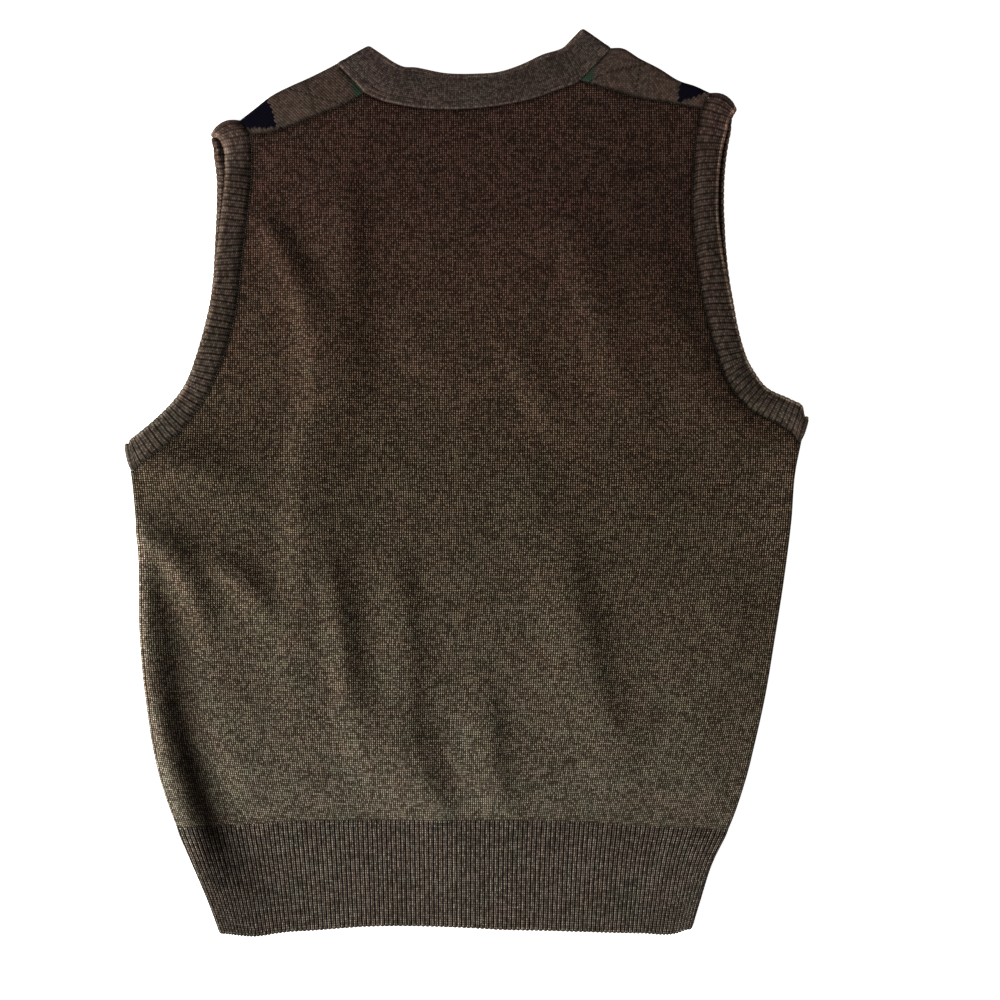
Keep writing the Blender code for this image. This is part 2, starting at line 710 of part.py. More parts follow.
def make_neckband():
    """The neckband: across the back of the neck, and down into the V of the front."""
    wall = NECKBAND_WALL
    crown = NECKBAND_CROWN
    up_turns = [pi * step / (2 * QUARTER_STEPS) for step in range(1, 2 * QUARTER_STEPS)]
    flat_inward = SHOULDER_INWARD["left"]
    corners = {side: neck_corner(side) for side in SIDES}
    tops = {}
    for side in SIDES:
        inward = SHOULDER_INWARD[side]
        tops[side] = tuple(round_fold(end, inward, TOP_LAYER) for end in corners[side])
    upper = [tops["left"]] + neck_back_rungs("left")
    upper += neck_back_rungs("right")[::-1] + [tops["right"]]
    sections = [band_section(rung, TOP_LAYER, flat_inward, wall, crown) for rung in upper]
    sections += fold_sections(
        corners["right"], SHOULDER_INWARD["right"], up_turns[::-1], wall, crown
    )
    lower = v_rungs("right") + v_rungs("left")[::-1]
    sections += [band_section(rung, SURFACE_LAYER, flat_inward, wall, crown) for rung in lower]
    sections += fold_sections(corners["left"], SHOULDER_INWARD["left"], up_turns, wall, crown)
    return make_ring("neckband", sections, NECKBAND_COLOUR)


for old_object in list(bpy.data.objects):
    bpy.data.objects.remove(old_object, do_unlink=True)

vest_collection = bpy.data.collections.new("sweater_vest")
bpy.context.scene.collection.children.link(vest_collection)

make_back_panel()
make_front_panel()
make_hem_rib("hem_rib_back", TOP_LAYER, HEM_RIB_LIFT)
make_hem_rib("hem_rib_front", SURFACE_LAYER, 0.0)
for band_side in SIDES:
    make_armhole_band(band_side)
make_neckband()
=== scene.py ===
"""
The finish of a knitted sweater vest that lies flat with its back up.

Pieces are worked out in millimetres in the model's own frame and become metres when a mesh
is made: +X is the wearer's right, +Y runs up the body to the neck, and +Z is up. A place on
the cloth is a point of the plan and a turn: 0 in the layer that lies on the floor, pi in
the top layer, and between the two round a fold.
"""

from math import hypot, pi, radians

import bmesh
import bpy
import numpy as np
from mathutils import Matrix, Vector


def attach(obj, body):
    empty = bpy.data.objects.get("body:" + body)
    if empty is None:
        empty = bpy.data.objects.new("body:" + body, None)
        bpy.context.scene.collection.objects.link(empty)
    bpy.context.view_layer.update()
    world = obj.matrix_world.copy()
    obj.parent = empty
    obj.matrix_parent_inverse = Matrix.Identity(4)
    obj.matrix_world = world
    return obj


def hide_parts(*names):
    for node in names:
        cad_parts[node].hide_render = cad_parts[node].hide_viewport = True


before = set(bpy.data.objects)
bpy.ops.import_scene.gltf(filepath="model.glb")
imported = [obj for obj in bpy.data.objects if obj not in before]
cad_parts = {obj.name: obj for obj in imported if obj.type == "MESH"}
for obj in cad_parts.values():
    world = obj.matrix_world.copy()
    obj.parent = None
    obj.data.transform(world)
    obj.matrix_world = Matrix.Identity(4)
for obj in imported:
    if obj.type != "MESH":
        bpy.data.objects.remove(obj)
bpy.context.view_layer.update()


# ------------------------------------------------------------------------------------------
# Camera, floor and light
# The vest lies on a plain pale floor under a camera that looks straight down on it. A broad
# lamp stands low on its left, by the hem, and a weak one fills in from the far side.
# ------------------------------------------------------------------------------------------
MM = 0.001
CAMERA_PLACE = (25.6 * MM, -14.0 * MM, 1.8)
FRAME_WIDTH = 0.770  # what the camera sees of the floor, in metres
SENSOR_WIDTH = 36.0
FLOOR_SIZE = 8.0
FLOOR_DROP = 0.3 * MM
FLOOR_COLOUR = (0.90, 0.90, 0.89)
FLOOR_GLOW = 0.92  # light that comes up through the floor, as from a studio's light table
SKY = {"Color": (1.0, 0.985, 0.965), "Strength": 0.30}
# Each lamp's name, place, aim, size, power and colour
LAMPS = (
    ("key_lamp", (-1.90, -1.60, 1.24), (-0.05, -0.06, 0.0), 1.40, 236.0, (1.0, 0.985, 0.95)),
    ("fill_lamp", (0.9, 1.3, 1.6), (0.0, 0.0, 0.0), 1.6, 3.0, (1.0, 0.93, 0.88)),
)


def add_object(name, data):
    """A new object of the scene, at the origin."""
    made = bpy.data.objects.new(name, data)
    bpy.context.scene.collection.objects.link(made)
    return made


def add_mesh(name, mesh_data, material):
    """A new mesh object from a bmesh."""
    mesh = bpy.data.meshes.new(name)
    mesh_data.to_mesh(mesh)
    mesh_data.free()
    mesh.materials.append(material)
    return add_object(name, mesh)


def plug(node, values):
    """Give a node's inputs their numbers, colours or links."""
    for name, value in values.items():
        if hasattr(value, "socket"):
            value.tree.links.new(value.socket, node.inputs[name])
        else:
            value = (*value, 1.0) if isinstance(value, tuple) else value
            node.inputs[name].default_value = value


def add_material(name, values):
    """A new material, with some values on its shader."""
    material = bpy.data.materials.new(name)
    material.use_nodes = True
    plug(material.node_tree.nodes["Principled BSDF"], values)
    return material


camera_data = bpy.data.cameras.new("camera")
camera_data.sensor_width = SENSOR_WIDTH
camera_data.lens = SENSOR_WIDTH * CAMERA_PLACE[2] / FRAME_WIDTH
bpy.context.scene.camera = add_object("camera", camera_data)
bpy.context.scene.camera.location = CAMERA_PLACE
bpy.context.scene.view_settings.view_transform = "Standard"

for name, place, aim, size, power, colour in LAMPS:
    light = bpy.data.lights.new(name, "AREA")
    light.energy = power
    light.size = size
    light.color = colour
    lamp = add_object(name, light)
    lamp.location = place
    lamp.rotation_euler = (Vector(aim) - Vector(place)).to_track_quat("-Z", "Y").to_euler()

bpy.context.scene.world = bpy.data.worlds.new("studio")
bpy.context.scene.world.use_nodes = True
plug(bpy.context.scene.world.node_tree.nodes["Background"], SKY)

floor_data = bmesh.new()
bmesh.ops.create_grid(floor_data, x_segments=1, y_segments=1, size=FLOOR_SIZE / 2)
bmesh.ops.translate(floor_data, vec=(0.0, 0.0, -FLOOR_DROP), verts=floor_data.verts[:])
floor = add_mesh("floor", floor_data, add_material("pale_floor", {
    "Base Color": FLOOR_COLOUR, "Roughness": 0.9,
    "Emission Color": FLOOR_COLOUR, "Emission Strength": FLOOR_GLOW,
}))


# ------------------------------------------------------------------------------------------
# Back
# One panel of fine marled jersey, knitted upward from the hem. It is the whole top layer
# between the bands, and it turns down over a round fold at each side, to the side seams.
# ------------------------------------------------------------------------------------------
SIDES = ("left", "right")
OUTWARD_X = {"left": -1.0, "right": 1.0}
SIDE_END = {"left": 0, "right": -1}  # a side's row in a table that runs from left to right
SURFACE_LAYER = 0.0
TOP_LAYER = pi
FOLD_RADIUS = 3.0
JERSEY_WALL = 1.5
SEAM_GAP = 0.16


def table(names, *rows):
    """A table's columns by name."""
    return dict(zip(names.split(), np.array(rows, float).T))


# Each side is a fold from the underarm to the hem edge.
SIDE_FOLDS = table(
    "y left right",
    (31, -262.5, 257.3), (9, -258.5, 252.9), (-30, -254.6, 249.6), (-60, -252.3, 246),
    (-120, -250.9, 237), (-168, -246.2, 228.9), (-200, -242, 221.8), (-230, -235.2, 214.2),
    (-266, -222.6, 201.6), (-291, -211.6, 189), (-322, -198.4, 178.9), (-349, -188.5, 170.8),
)
# The line where the hem rib is linked on, and the hem's lower edge, across the vest
HEM_LINES = table(
    "share seam edge",
    (0, -265, -347.2), (0.065, -264.1, -349.3), (0.13, -262.9, -346.2), (0.2, -260.4, -344.6),
    (0.3, -259.6, -341.9), (0.51, -259.6, -342.5), (0.6, -259.6, -344.2), (0.7, -260.2, -345),
    (0.8, -262.2, -346.1), (0.9, -264.9, -346.9), (0.98, -266.7, -346.6), (1, -267.2, -344),
)
# Edges of the bands on the back, from the shoulder fold on: x and y of the seam edge, which
# is linked to the panels, and of the open free edge. On an armhole the second row is the end
# of the shoulder seam and the last row is the underarm fold.
ARMHOLES = {
    "left": np.array((
        (-174.1, 277.8, -196.5, 267.8), (-166.5, 266.3, -188.6, 261.8),
        (-165.2, 257.8, -185.9, 254.7), (-164.9, 243.2, -185.1, 243.2),
        (-167.5, 209.3, -187.3, 211.6), (-171.9, 175.4, -192.3, 173.9),
        (-177.5, 128.4, -197.7, 132.3), (-186.6, 96.1, -206.8, 98.3),
        (-202, 62.2, -217.9, 71.3), (-227.8, 31, -239.9, 46.8), (-242.6, 19.1, -253.6, 35.4),
        (-258.5, 8.7, -262.8, 28.8),
    )),
    "right": np.array((
        (187.1, 298.8, 207.4, 287.1), (181.2, 286.3, 202, 279.4), (177.7, 274, 199.3, 269.3),
        (175.8, 258.6, 196.3, 257), (173.5, 209.3, 192.6, 210.8),
        (177.3, 166.9, 197.3, 169.2), (182.2, 136.9, 203.9, 136.9),
        (190.3, 104.6, 210.9, 106.2), (202.7, 72.2, 219.6, 85.5), (215.1, 57.2, 228.9, 73),
        (241.1, 43, 249.6, 62.4), (250.5, 36.6, 258, 57.8), (257.3, 31, 262.8, 49.6),
    )),
}
# The neckband's back in the same way, from the left shoulder fold to the right one. The
# shoulder seams end on the third row and on the third row from the end.
NECK_BACK = np.array((
    (-99.1, 321.7, -74.6, 336), (-89, 307.7, -69.5, 332.8), (-79, 299.1, -60.8, 324.9),
    (-66.1, 292.9, -50.6, 319.1), (-46.3, 288.4, -39, 317.8), (-14.6, 285.8, -13.6, 313.2),
    (7.5, 286.8, 6.4, 313), (29.7, 289.5, 25.3, 314.6), (52.2, 294.6, 44.1, 320.9),
    (66.9, 299.8, 57.2, 327.2), (87.6, 308.3, 75.3, 333.7), (99.3, 320.2, 82.6, 343.3),
    (110.6, 333.4, 88.6, 349.2),
))
# The shoulders, at shares of the way from the armhole to the neck: how far the fold rises
# above a straight line, and how far the shoulder seam sags below one
SHOULDERS = table(
    "share fold_left fold_right seam_left seam_right",
    (0, 0, 0, 0, 0), (0.15, 2.2, 0, 3.4, 0.7), (0.31, 4.5, -1.7, 5, 1.5),
    (0.52, 3.4, 1, 4.4, 3), (0.71, 1.5, 2.1, 4.1, 2), (0.88, 0.4, 4, 3.4, 1), (1, 0, 0, 0, 0),
)
# How far the front's armhole edges lie outside those of the back, by the distance along the
# seam from the shoulder fold
PEEKS = table(
    "distance left right",
    (0, 0, 0), (13, 7, 1.5), (27, 8.9, 3.4), (50, 6.4, 4.2), (83, 3.5, 4.8), (105, 1.3, 4.6),
    (125, 0, 3.2), (150, 0, 1.5), (180, 0, 0.3), (200, 0, 0),
)
V_FLAT = 3.0  # width of the V neck's blunt point
FOLD_EASE = 6.0  # reach of the curve by which an edge turns into a fold

# The way from a fold into the vest, in plan
SIDE_INWARD = {"left": np.array([1.0, 0.0]), "right": np.array([-1.0, 0.0])}
SHOULDER_INWARD = {"left": np.array([0.45, -0.893]), "right": np.array([-0.42, -0.908])}

# Soft folds that lie in the back, each by points of its crest: x, y, height, and the width
# of the slope on its left and lower side and on its right and upper side
FOLDS = (
    # the roll along the left side, and the crease inside it
    ((-249, -52, 0, 6, 9), (-247.5, -80, 1.8, 6, 11), (-245, -115, 3, 6, 12),
     (-241, -158, 3.6, 6, 13), (-233, -192, 3.8, 7, 13), (-225.5, -222, 3.8, 8, 14),
     (-214.5, -253, 3.6, 8, 14), (-200, -292, 2.2, 8, 15), (-188, -335, 0, 8, 13)),
    ((-236, -62, 0, 9, 10), (-230, -88, -2, 10, 12), (-223, -115, -3.4, 11, 14),
     (-217.5, -150, -4.4, 11, 15), (-211, -190, -4.8, 11, 15), (-200, -226, -4.8, 12, 15),
     (-187.5, -256, -4.4, 13, 15), (-172, -290, -2.4, 14, 16), (-162, -330, 0, 13, 15)),
    # the long ridge down the left of the body
    ((-164, 214, 0, 8, 9), (-150, 192, 3.6, 8, 10), (-138, 170, 5.2, 9, 12),
     (-128.5, 148, 5.9, 10, 16), (-121.5, 124, 6.3, 11, 22), (-116, 100, 6.4, 12, 28),
     (-114, 76, 6.1, 12, 29), (-120, 40, 5.9, 13, 30), (-127, 0, 5.9, 12, 33),
     (-128, -34, 5.8, 12, 33), (-127, -66, 5.6, 13, 30), (-128, -104, 4.9, 14, 28),
     (-128, -140, 3.6, 17, 26), (-124, -190, 1.8, 22, 24), (-118, -236, 0, 30, 20)),
    # the broad ridge beside it, high on the back
    ((-93, 250, 0, 24, 14), (-92, 216, 3, 24, 14), (-90, 176, 4.8, 24, 14),
     (-90, 140, 4.8, 24, 15), (-91, 104, 3.6, 24, 16), (-93, 66, 1.8, 24, 18),
     (-96, 30, 0, 24, 18)),
    ((-58, 150, 0, 12, 26), (-44, 116, 1.5, 13, 30), (-30, 86, 1.1, 13, 30),
     (-24, 56, 0, 13, 30)),
    # folds that run in from the left underarm
    ((-258, 12, 0, 14, 12), (-240, 12, 3.6, 15, 15), (-214, 11, 5.6, 17, 19),
     (-190, 4, 4.6, 18, 20), (-165, -9, 2.2, 17, 20), (-145, -22, 0, 15, 16)),
    ((-255, -28, 0, 9, 12), (-240, -45, 4.2, 9, 13), (-225, -59, 6.3, 10, 15),
     (-212, -80, 5.6, 10, 13), (-204, -104, 3.4, 10, 12), (-198, -134, 0, 10, 12)),
    ((-212, -58, 0, 11, 13), (-190, -66, 3.2, 12, 14), (-170, -79, 4.6, 12, 13),
     (-156, -97, 3.8, 12, 13), (-147, -120, 1.8, 12, 13), (-142, -146, 0, 12, 13)),
    # the hem's pull on the lower body
    ((-106, -48, 0, 11, 12), (-101, -76, 3.2, 12, 12), (-97, -106, 5.2, 12, 12),
     (-93, -140, 5.9, 12, 13), (-87, -172, 5.2, 14, 16), (-76, -204, 3.6, 16, 22),
     (-64, -232, 1.6, 18, 28), (-58, -258, 0, 18, 30)),
    ((-55, -46, 0, 17, 11), (-50, -76, 2.4, 18, 11), (-47, -104, 3.6, 18, 12),
     (-46, -134, 4.2, 20, 13), (-46, -162, 4.6, 24, 13), (-45, -192, 4.8, 26, 14),
     (-36, -218, 4.4, 26, 13), (-24, -242, 3.4, 26, 12), (-14, -262, 1.6, 24, 12),
     (-5, -290, 0, 24, 12)),
    ((10, -140, 0, 16, 10), (16, -174, 2.4, 17, 10), (19, -204, 4.4, 18, 10),
     (22, -228, 3.8, 18, 10), (31, -248, 1.8, 18, 11), (42, -276, 0, 18, 12)),
    ((70, -16, 0, 26, 14), (76, -46, 2.6, 28, 15), (80, -76, 4.6, 28, 15),
     (88, -116, 5.6, 28, 16), (97, -157, 4.8, 28, 17), (112, -197, 2.8, 28, 18),
     (124, -232, 0, 28, 18)),
    # shallow folds of the upper body and the right side
    ((70, 226, 0, 14, 18), (82, 190, 1.8, 14, 18), (94, 158, 2.8, 14, 19),
     (102, 128, 3.2, 14, 20), (112, 98, 3, 14, 20), (124, 66, 2.2, 14, 20),
     (136, 34, 0, 14, 18)),
    ((28, 122, 0, 13, 17), (42, 92, 2, 12, 17), (58, 58, 2.3, 12, 17), (74, 24, 0, 13, 18)),
    ((134, 192, 0, 24, 16), (146, 156, 2.8, 26, 20), (160, 120, 4, 28, 20),
     (178, 88, 4.3, 30, 20), (192, 60, 4, 30, 22), (208, 38, 2.6, 28, 22),
     (230, 16, 0, 24, 16)),
    ((60, 20, 0, 18, 14), (52, -10, 2, 20, 13), (54, -44, 0, 20, 13)),
    ((198, -60, 0, 30, 20), (200, -100, 2, 30, 20), (192, -140, 1.6, 30, 20),
     (180, -190, 1.8, 30, 20), (172, -250, 0, 30, 20)),
)
FOLD_PARTS = 24
FOLD_STRENGTH = 1.3
DEEPEST_TROUGH = -2.6  # keeps the back clear of the front beneath it
AIR = 1.1  # how far the laid body stands above its edges
AIR_REACH = 16.0
WAVES = (0.22, 0.12)  # heights of the shallow waves that any laid cloth keeps

# Painted shade on wool that gets little light, or a painted highlight where the share is below
# zero, by points along it: x, y, share and width. They are the crease, the strip beside the
# left band, the rim of the left side, the upper right, the upper left, and the right side's rim.
SHADES = (
    ((-243, -66, 0, 4), (-237, -90, 0.38, 7), (-227, -118, 0.56, 11), (-224, -150, 0.66, 12),
     (-221, -182, 0.8, 12), (-212, -214, 0.95, 12), (-203, -245, 0.98, 13),
     (-194, -268, 0.9, 15), (-186, -288, 0.66, 24), (-174, -310, 0.48, 34),
     (-164, -345, 0.28, 34)),
    ((-164, 256, 0, 3), (-165, 236, 0.25, 4), (-168, 205, 0.4, 5), (-172, 175, 0.4, 6),
     (-178, 128, 0.25, 5), (-187, 96, 0, 4)),
    ((-252, -12, 0, 4), (-250, -40, -0.7, 4), (-248, -80, -0.8, 4), (-247, -120, -0.65, 4),
     (-241, -170, -0.36, 4), (-231, -230, -0.22, 4), (-208, -291, 0, 4)),
    ((112, 296, 0, 34), (134, 250, 0.27, 42), (142, 200, 0.33, 44), (146, 140, 0.35, 44),
     (160, 80, 0.24, 42), (164, 30, 0.17, 42), (156, -30, 0, 38)),
    ((-150, 280, 0, 30), (-132, 245, -0.09, 36), (-112, 205, -0.05, 30), (-112, 165, 0, 30)),
    ((246, 34, 0, 10), (243, 10, -0.22, 20), (240, -20, -0.25, 22), (234, -60, -0.1, 20),
     (228, -100, 0, 18)),
)
SEAM_DIP = 0.75  # how far a panel's outer skin falls at the edge of a seam
SEAM_DIP_REACH = 1.8
FOOT_DIP_SHARE = 0.08  # share of it at the hem

# Mesh density of a half panel
EDGE_STEPS = np.array([0.0, 0.8, 2.0])  # rows next to a seam, in millimetres from it
HALF_WIDTH = 250.0  # of a half panel, to turn those steps into shares of it
SHOULDER_SHARE = 0.40  # share of a half panel's columns that end at the shoulder
SHOULDER_COLUMNS = 32
NECK_COLUMNS = 48
BODY_ROWS = 98
ARMHOLE_ROWS = 88
QUARTER_STEPS = 6
SHARP_ANGLE = radians(60.0)

# The knit: a wale is a column of stitches and a course is a row of them
WALE = 1.77
COURSE = 1.72
KNIT_WIDTH = 512.0  # width of the flat knit, which the hem rib draws in
KNIT_BOW = 10.0  # how far its courses bow down at the sides, by the hem
KNIT_DRAWN_BELOW = 9.0
HEM_LEVEL = -265.0
WOOL_SHADES = ((0.027, 0.020, 0.014), (0.056, 0.044, 0.032), (0.100, 0.080, 0.060))
# Tints of the wool at the hem, at the middle and at the shoulders: the hue runs from olive to
# red, and painted shade darkens the wool towards the shoulders, away from the lamp by the hem
BAND_TINTS = ((1.28, 1.40, 1.42), (0.83, 0.80, 0.77), (0.51, 0.385, 0.375))
BACK_TINTS = ((0.93, 1.03, 1.10), (0.79, 0.77, 0.755), (0.345, 0.296, 0.345))
HEM_TINT_Y = -0.26  # heights of those tints, in metres
WAIST = 0.01
BAND_TOP = 0.28
BACK_TOP = 0.22
TINT_SLANT = 0.12  # how far the lines of equal tint slant across the vest
CLOUD_HUES = ((1.05, 0.98, 0.97), (0.95, 1.01, 0.98))
DEEP_SHADE = (0.13, 0.11, 0.10)  # share of its colour that wool keeps deep in a seam
PALEST_TINT = (2.5, 2.55, 2.85)  # how much brighter wool is where it is palest: a painted highlight on the rims of the sides, and paler places on the bands
WHITE = (1.0, 1.0, 1.0)
STITCH_WANDER = 1.3
STITCH_SLANT = 0.42  # how many courses a V rises from the middle of its wale to the edges
LEG_POWERS = (1.3, 1.5)  # how round a stitch's leg is across it and along it
MARL_SHARES = (0.50, 0.50, 0.16)  # of the flecks, of drawn-out streaks and of wide patches
MARL_MARKS = (0.36, 0.56, 0.80)  # how light the yarn is at each of its three shades
CREST_POWERS = (1.8, 1.8, 1.8)  # how narrow a stitch's crest is at those three heights
BACK_POWERS = (1.05, 1.6, 1.2)
# Red, green and blue of a stitch: where its painted light starts, and how far it rises on the
# crest. The painted shade in the gaps is reddish and the painted highlight on the crests is
# grey. Near the shoulders the gaps' painted shade is paler.
GAP_CHANNELS = ((0.0, 0.96), (0.05, 1.03), (0.18, 1.24))
SHOULDER_GAPS = (0.42, 0.10, 0.05)
NO_GAPS = (0.0, 0.0, 0.0)
WOOL_FINISH = {
    "Roughness": 0.93, "Specular IOR Level": 0.04,
    "Sheen Weight": 0.04, "Sheen Roughness": 0.45, "Sheen Tint": (0.70, 0.58, 0.46),
}


def bell(distance, reach):
    """1 at no distance, and less and less beyond a reach."""
    return np.exp(-((distance / reach) ** 2))


def mix(first, second, share):
    """Points at shares of the way between two points or rows of points."""
    first = np.asarray(first)
    return first + (np.asarray(second) - first) * np.asarray(share)[..., None]


def lengths(vectors):
    """Lengths in plan."""
    return np.hypot(vectors[..., 0], vectors[..., 1])


def marks_along(points):
    """Distances in plan along a row of points."""
    return np.concatenate([[0.0], np.cumsum(lengths(np.diff(points, axis=0)))])


def smooth_through(marks, points):
    """A smooth curve through points at rising marks, as a function of the mark."""
    slopes = np.gradient(points, marks, axis=0)

    def curve(mark):
        mark = np.clip(mark, marks[0], marks[-1])
        row = np.clip(np.searchsorted(marks, mark, side="right") - 1, 0, len(marks) - 2)
        span = marks[row + 1] - marks[row]
        t = (mark - marks[row]) / span
        if points.ndim > 1:
            span = span[..., None]
            t = t[..., None]
        start = points[row] * (2 * t**3 - 3 * t**2 + 1)
        start = start + slopes[row] * span * (t**3 - 2 * t**2 + t)
        end = points[row + 1] * (3 * t**2 - 2 * t**3)
        return start + end + slopes[row + 1] * span * (t**3 - t**2)

    return curve


def table_curve(rows, by, column):
    """A smooth curve through one column of a table."""
    order = np.argsort(rows[by])
    return smooth_through(rows[by][order], rows[column][order])


def walk_along(rows):
    """Marks of rows that start with x and y, and a smooth walk through them."""
    points = np.array(rows, float)
    marks = marks_along(points)
    return marks, smooth_through(marks, points)


def by_distance(rows, side, distances):
    """A side's column of a table, at distances along the armhole from the shoulder fold."""
    return np.interp(distances, rows["distance"], rows[side])


def smooth_paths(tables):
    """Tables of rows that start with x and y, each as a smooth path."""
    walks = [walk_along(rows) for rows in tables]
    return [walk(np.linspace(0.0, marks[-1], FOLD_PARTS + 1)) for marks, walk in walks]


side_curves = {side: table_curve(SIDE_FOLDS, "y", side) for side in SIDES}
hem_seam_curve = table_curve(HEM_LINES, "share", "seam")
armhole_walks = {side: walk_along(ARMHOLES[side]) for side in SIDES}
neck_marks, neck_walk = walk_along(NECK_BACK)
neck_seam_ends = {"left": neck_marks[2], "right": neck_marks[-3]}
fold_paths = smooth_paths(FOLDS)
shade_paths = smooth_paths(SHADES)


def beside_path(place, path):
    """Distance to a path at places, its nearest row, and whether they lie to its right."""
    x, y = np.moveaxis(place, -1, 0)
    nearest = np.full(x.shape, np.inf)
    row = np.zeros(x.shape + path.shape[1:])
    on_right = np.zeros(x.shape, bool)
    for start, end in zip(path, path[1:]):
        run_x, run_y = (end - start)[:2]
        along = ((x - start[0]) * run_x + (y - start[1]) * run_y) / (run_x**2 + run_y**2)
        here = start + (end - start) * np.clip(along, 0.0, 1.0)[..., None]
        away = np.hypot(x - here[..., 0], y - here[..., 1])
        closer = away < nearest
        nearest = np.where(closer, away, nearest)
        row = np.where(closer[..., None], here, row)
        right = run_x * (y - start[1]) - run_y * (x - start[0]) > 0
        on_right = np.where(closer, right, on_right)
    return nearest, row, on_right


def edge_distance(x, y):
    """Distances from places in plan to the nearest band, hem or side."""
    nearest = np.minimum(x - side_curves["left"](y), side_curves["right"](y) - x)
    nearest = np.minimum(nearest, y - HEM_LINES["seam"].max())
    for side, rungs in ARMHOLES.items():
        beside = np.interp(y, rungs[::-1, 1], rungs[::-1, 0])
        inside = (beside - x) * OUTWARD_X[side]
        nearest = np.where(y > rungs[-1, 1], np.minimum(nearest, inside), nearest)
    below = np.interp(x, NECK_BACK[:, 0], NECK_BACK[:, 1]) - y
    return np.clip(np.minimum(nearest, below), 0.0, None)


def puff(place):
    """Height of the top layer's soft folds at places in plan."""
    x, y = np.moveaxis(place, -1, 0)
    total = np.zeros(x.shape)
    for path in fold_paths:
        away, row, on_right = beside_path(place, path)
        width = np.where(on_right, row[..., 4], row[..., 3])
        total += FOLD_STRENGTH * row[..., 2] * bell(away, width)
    total += WAVES[0] * np.sin(x / 17.0 + 1.3 * np.sin(y / 41.0)) * np.sin(y / 33.0 + x / 90.0)
    total += WAVES[1] * np.sin(x / 7.3 + y / 29.0) * np.sin(y / 11.0 - x / 37.0)
    total += AIR * (1 - bell(edge_distance(x, y), AIR_REACH))
    return np.where(total < 0, DEEPEST_TROUGH * np.tanh(total / DEEPEST_TROUGH), total)


def add_shades(depth, place):
    """The depth of the wool at places in plan, with its painted shades and, below zero, its
    painted highlights.
    """
    paling = 0 * depth
    for path in shade_paths:
        away, row, _ = beside_path(place, path)
        share = row[..., 2] * bell(away, row[..., 3])
        depth = np.maximum(depth, share)
        paling = np.minimum(paling, share)
    return depth + paling


def round_fold(fold_place, inward, turn):
    """Places in plan of the outer skin at turns round a fold."""
    return fold_place + inward * (FOLD_RADIUS * (1.0 - np.sin(turn)))[..., None]


def half_gap(turn):
    """How far a half stands off the side seam, up in the top layer and down in the other."""
    return SEAM_GAP / 2 if turn == TOP_LAYER else -SEAM_GAP / 2


def skins(place, turn, inward, wall, lift=0.0):
    """Outer and inner points of a wall at places. lift raises the outer points alone."""
    turn = np.broadcast_to(turn, place.shape[:-1])
    into_wall = np.stack(
        [inward[..., 0] * np.sin(turn), inward[..., 1] * np.sin(turn), np.cos(turn)], axis=-1
    )
    height = FOLD_RADIUS * (1.0 - np.cos(turn))
    outer = np.concatenate([place, height[..., None]], axis=-1)
    outer = outer - into_wall * (puff(place) * np.maximum(-np.cos(turn), 0.0))[..., None]
    lift = np.broadcast_to(lift, turn.shape)[..., None]
    return outer - into_wall * lift, outer + into_wall * wall


def armhole_rungs(side, turn, distances):
    """Both edges of an armhole band in one layer, at distances from the shoulder fold."""
    marks, walk = armhole_walks[side]
    rungs = walk(distances)
    if turn == SURFACE_LAYER:
        rungs[:, [0, 2]] += OUTWARD_X[side] * by_distance(PEEKS, side, distances)[:, None]
    shift = np.outer(bell(marks[-1] - distances, FOLD_EASE), SIDE_INWARD[side] * FOLD_RADIUS)
    shift += np.outer(bell(distances, FOLD_EASE), SHOULDER_INWARD[side] * FOLD_RADIUS)
    return rungs[:, :2] + shift, rungs[:, 2:] + shift


def side_rows(side, rows):
    """Places where a side fold meets the flat layers, from the hem seam to the underarm."""
    low = HEM_LINES["seam"][SIDE_END[side]]
    y = np.concatenate([low + EDGE_STEPS, np.linspace(low, ARMHOLES[side][-1, 1], rows + 1)[1:]])
    return round_fold(np.stack([side_curves[side](y), y], axis=-1), SIDE_INWARD[side], TOP_LAYER)


def panel_edge(side, turn, rows, distances):
    """A panel's edge up the side and then along the armhole."""
    return np.concatenate([side_rows(side, rows), armhole_rungs(side, turn, distances)[0][1:]])


def foot_line(side, shares):
    """Lower edge of a panel's half, from the side to the middle."""
    ends = [side_rows(name, BODY_ROWS)[0, 0] for name in SIDES]
    start = ends[SIDE_END[side]]
    middle = (ends[0] + ends[1]) / 2 + OUTWARD_X[side] * V_FLAT / 2
    x = start + (middle - start) * shares
    return np.stack([x, hem_seam_curve((x - ends[0]) / (ends[1] - ends[0]))], axis=-1)


def shoulder_seam_line(side, ways):
    """The back's shoulder seam, at shares of the way from the armhole to the neck."""
    start = armhole_rungs(side, TOP_LAYER, armhole_walks[side][0][1:2])[0][0]
    line = mix(start, neck_walk(neck_seam_ends[side])[:2], ways)
    line[:, 1] -= table_curve(SHOULDERS, "share", "seam_" + side)(ways)
    return line


def neck_seam_line(side, ways):
    """The back's seam under the neckband, from the shoulder seam to the middle."""
    end = neck_seam_ends[side]
    middle = (neck_marks[2] + neck_marks[-3]) / 2 + OUTWARD_X[side] * V_FLAT / 2
    return neck_walk(end + (middle - end) * ways)[:, :2]


def row_heights(edges):
    """Mean share of the way up, row by row, along some edges."""
    marks = [marks_along(edge) for edge in edges]
    return np.mean([edge_marks / edge_marks[-1] for edge_marks in marks], axis=0)


def fill_patch(edge, middle, foot, top, heights, shares):
    """Rows of places in plan that fill a half panel between its four edges."""
    foot_bow = foot - mix(foot[0], foot[-1], shares)
    top_bow = top - mix(top[0], top[-1], shares)
    straight = edge[:, None] + (middle - edge)[:, None] * shares[None, :, None]
    up = heights[:, None, None]
    return straight + foot_bow[None] * (1 - up) + top_bow[None] * up


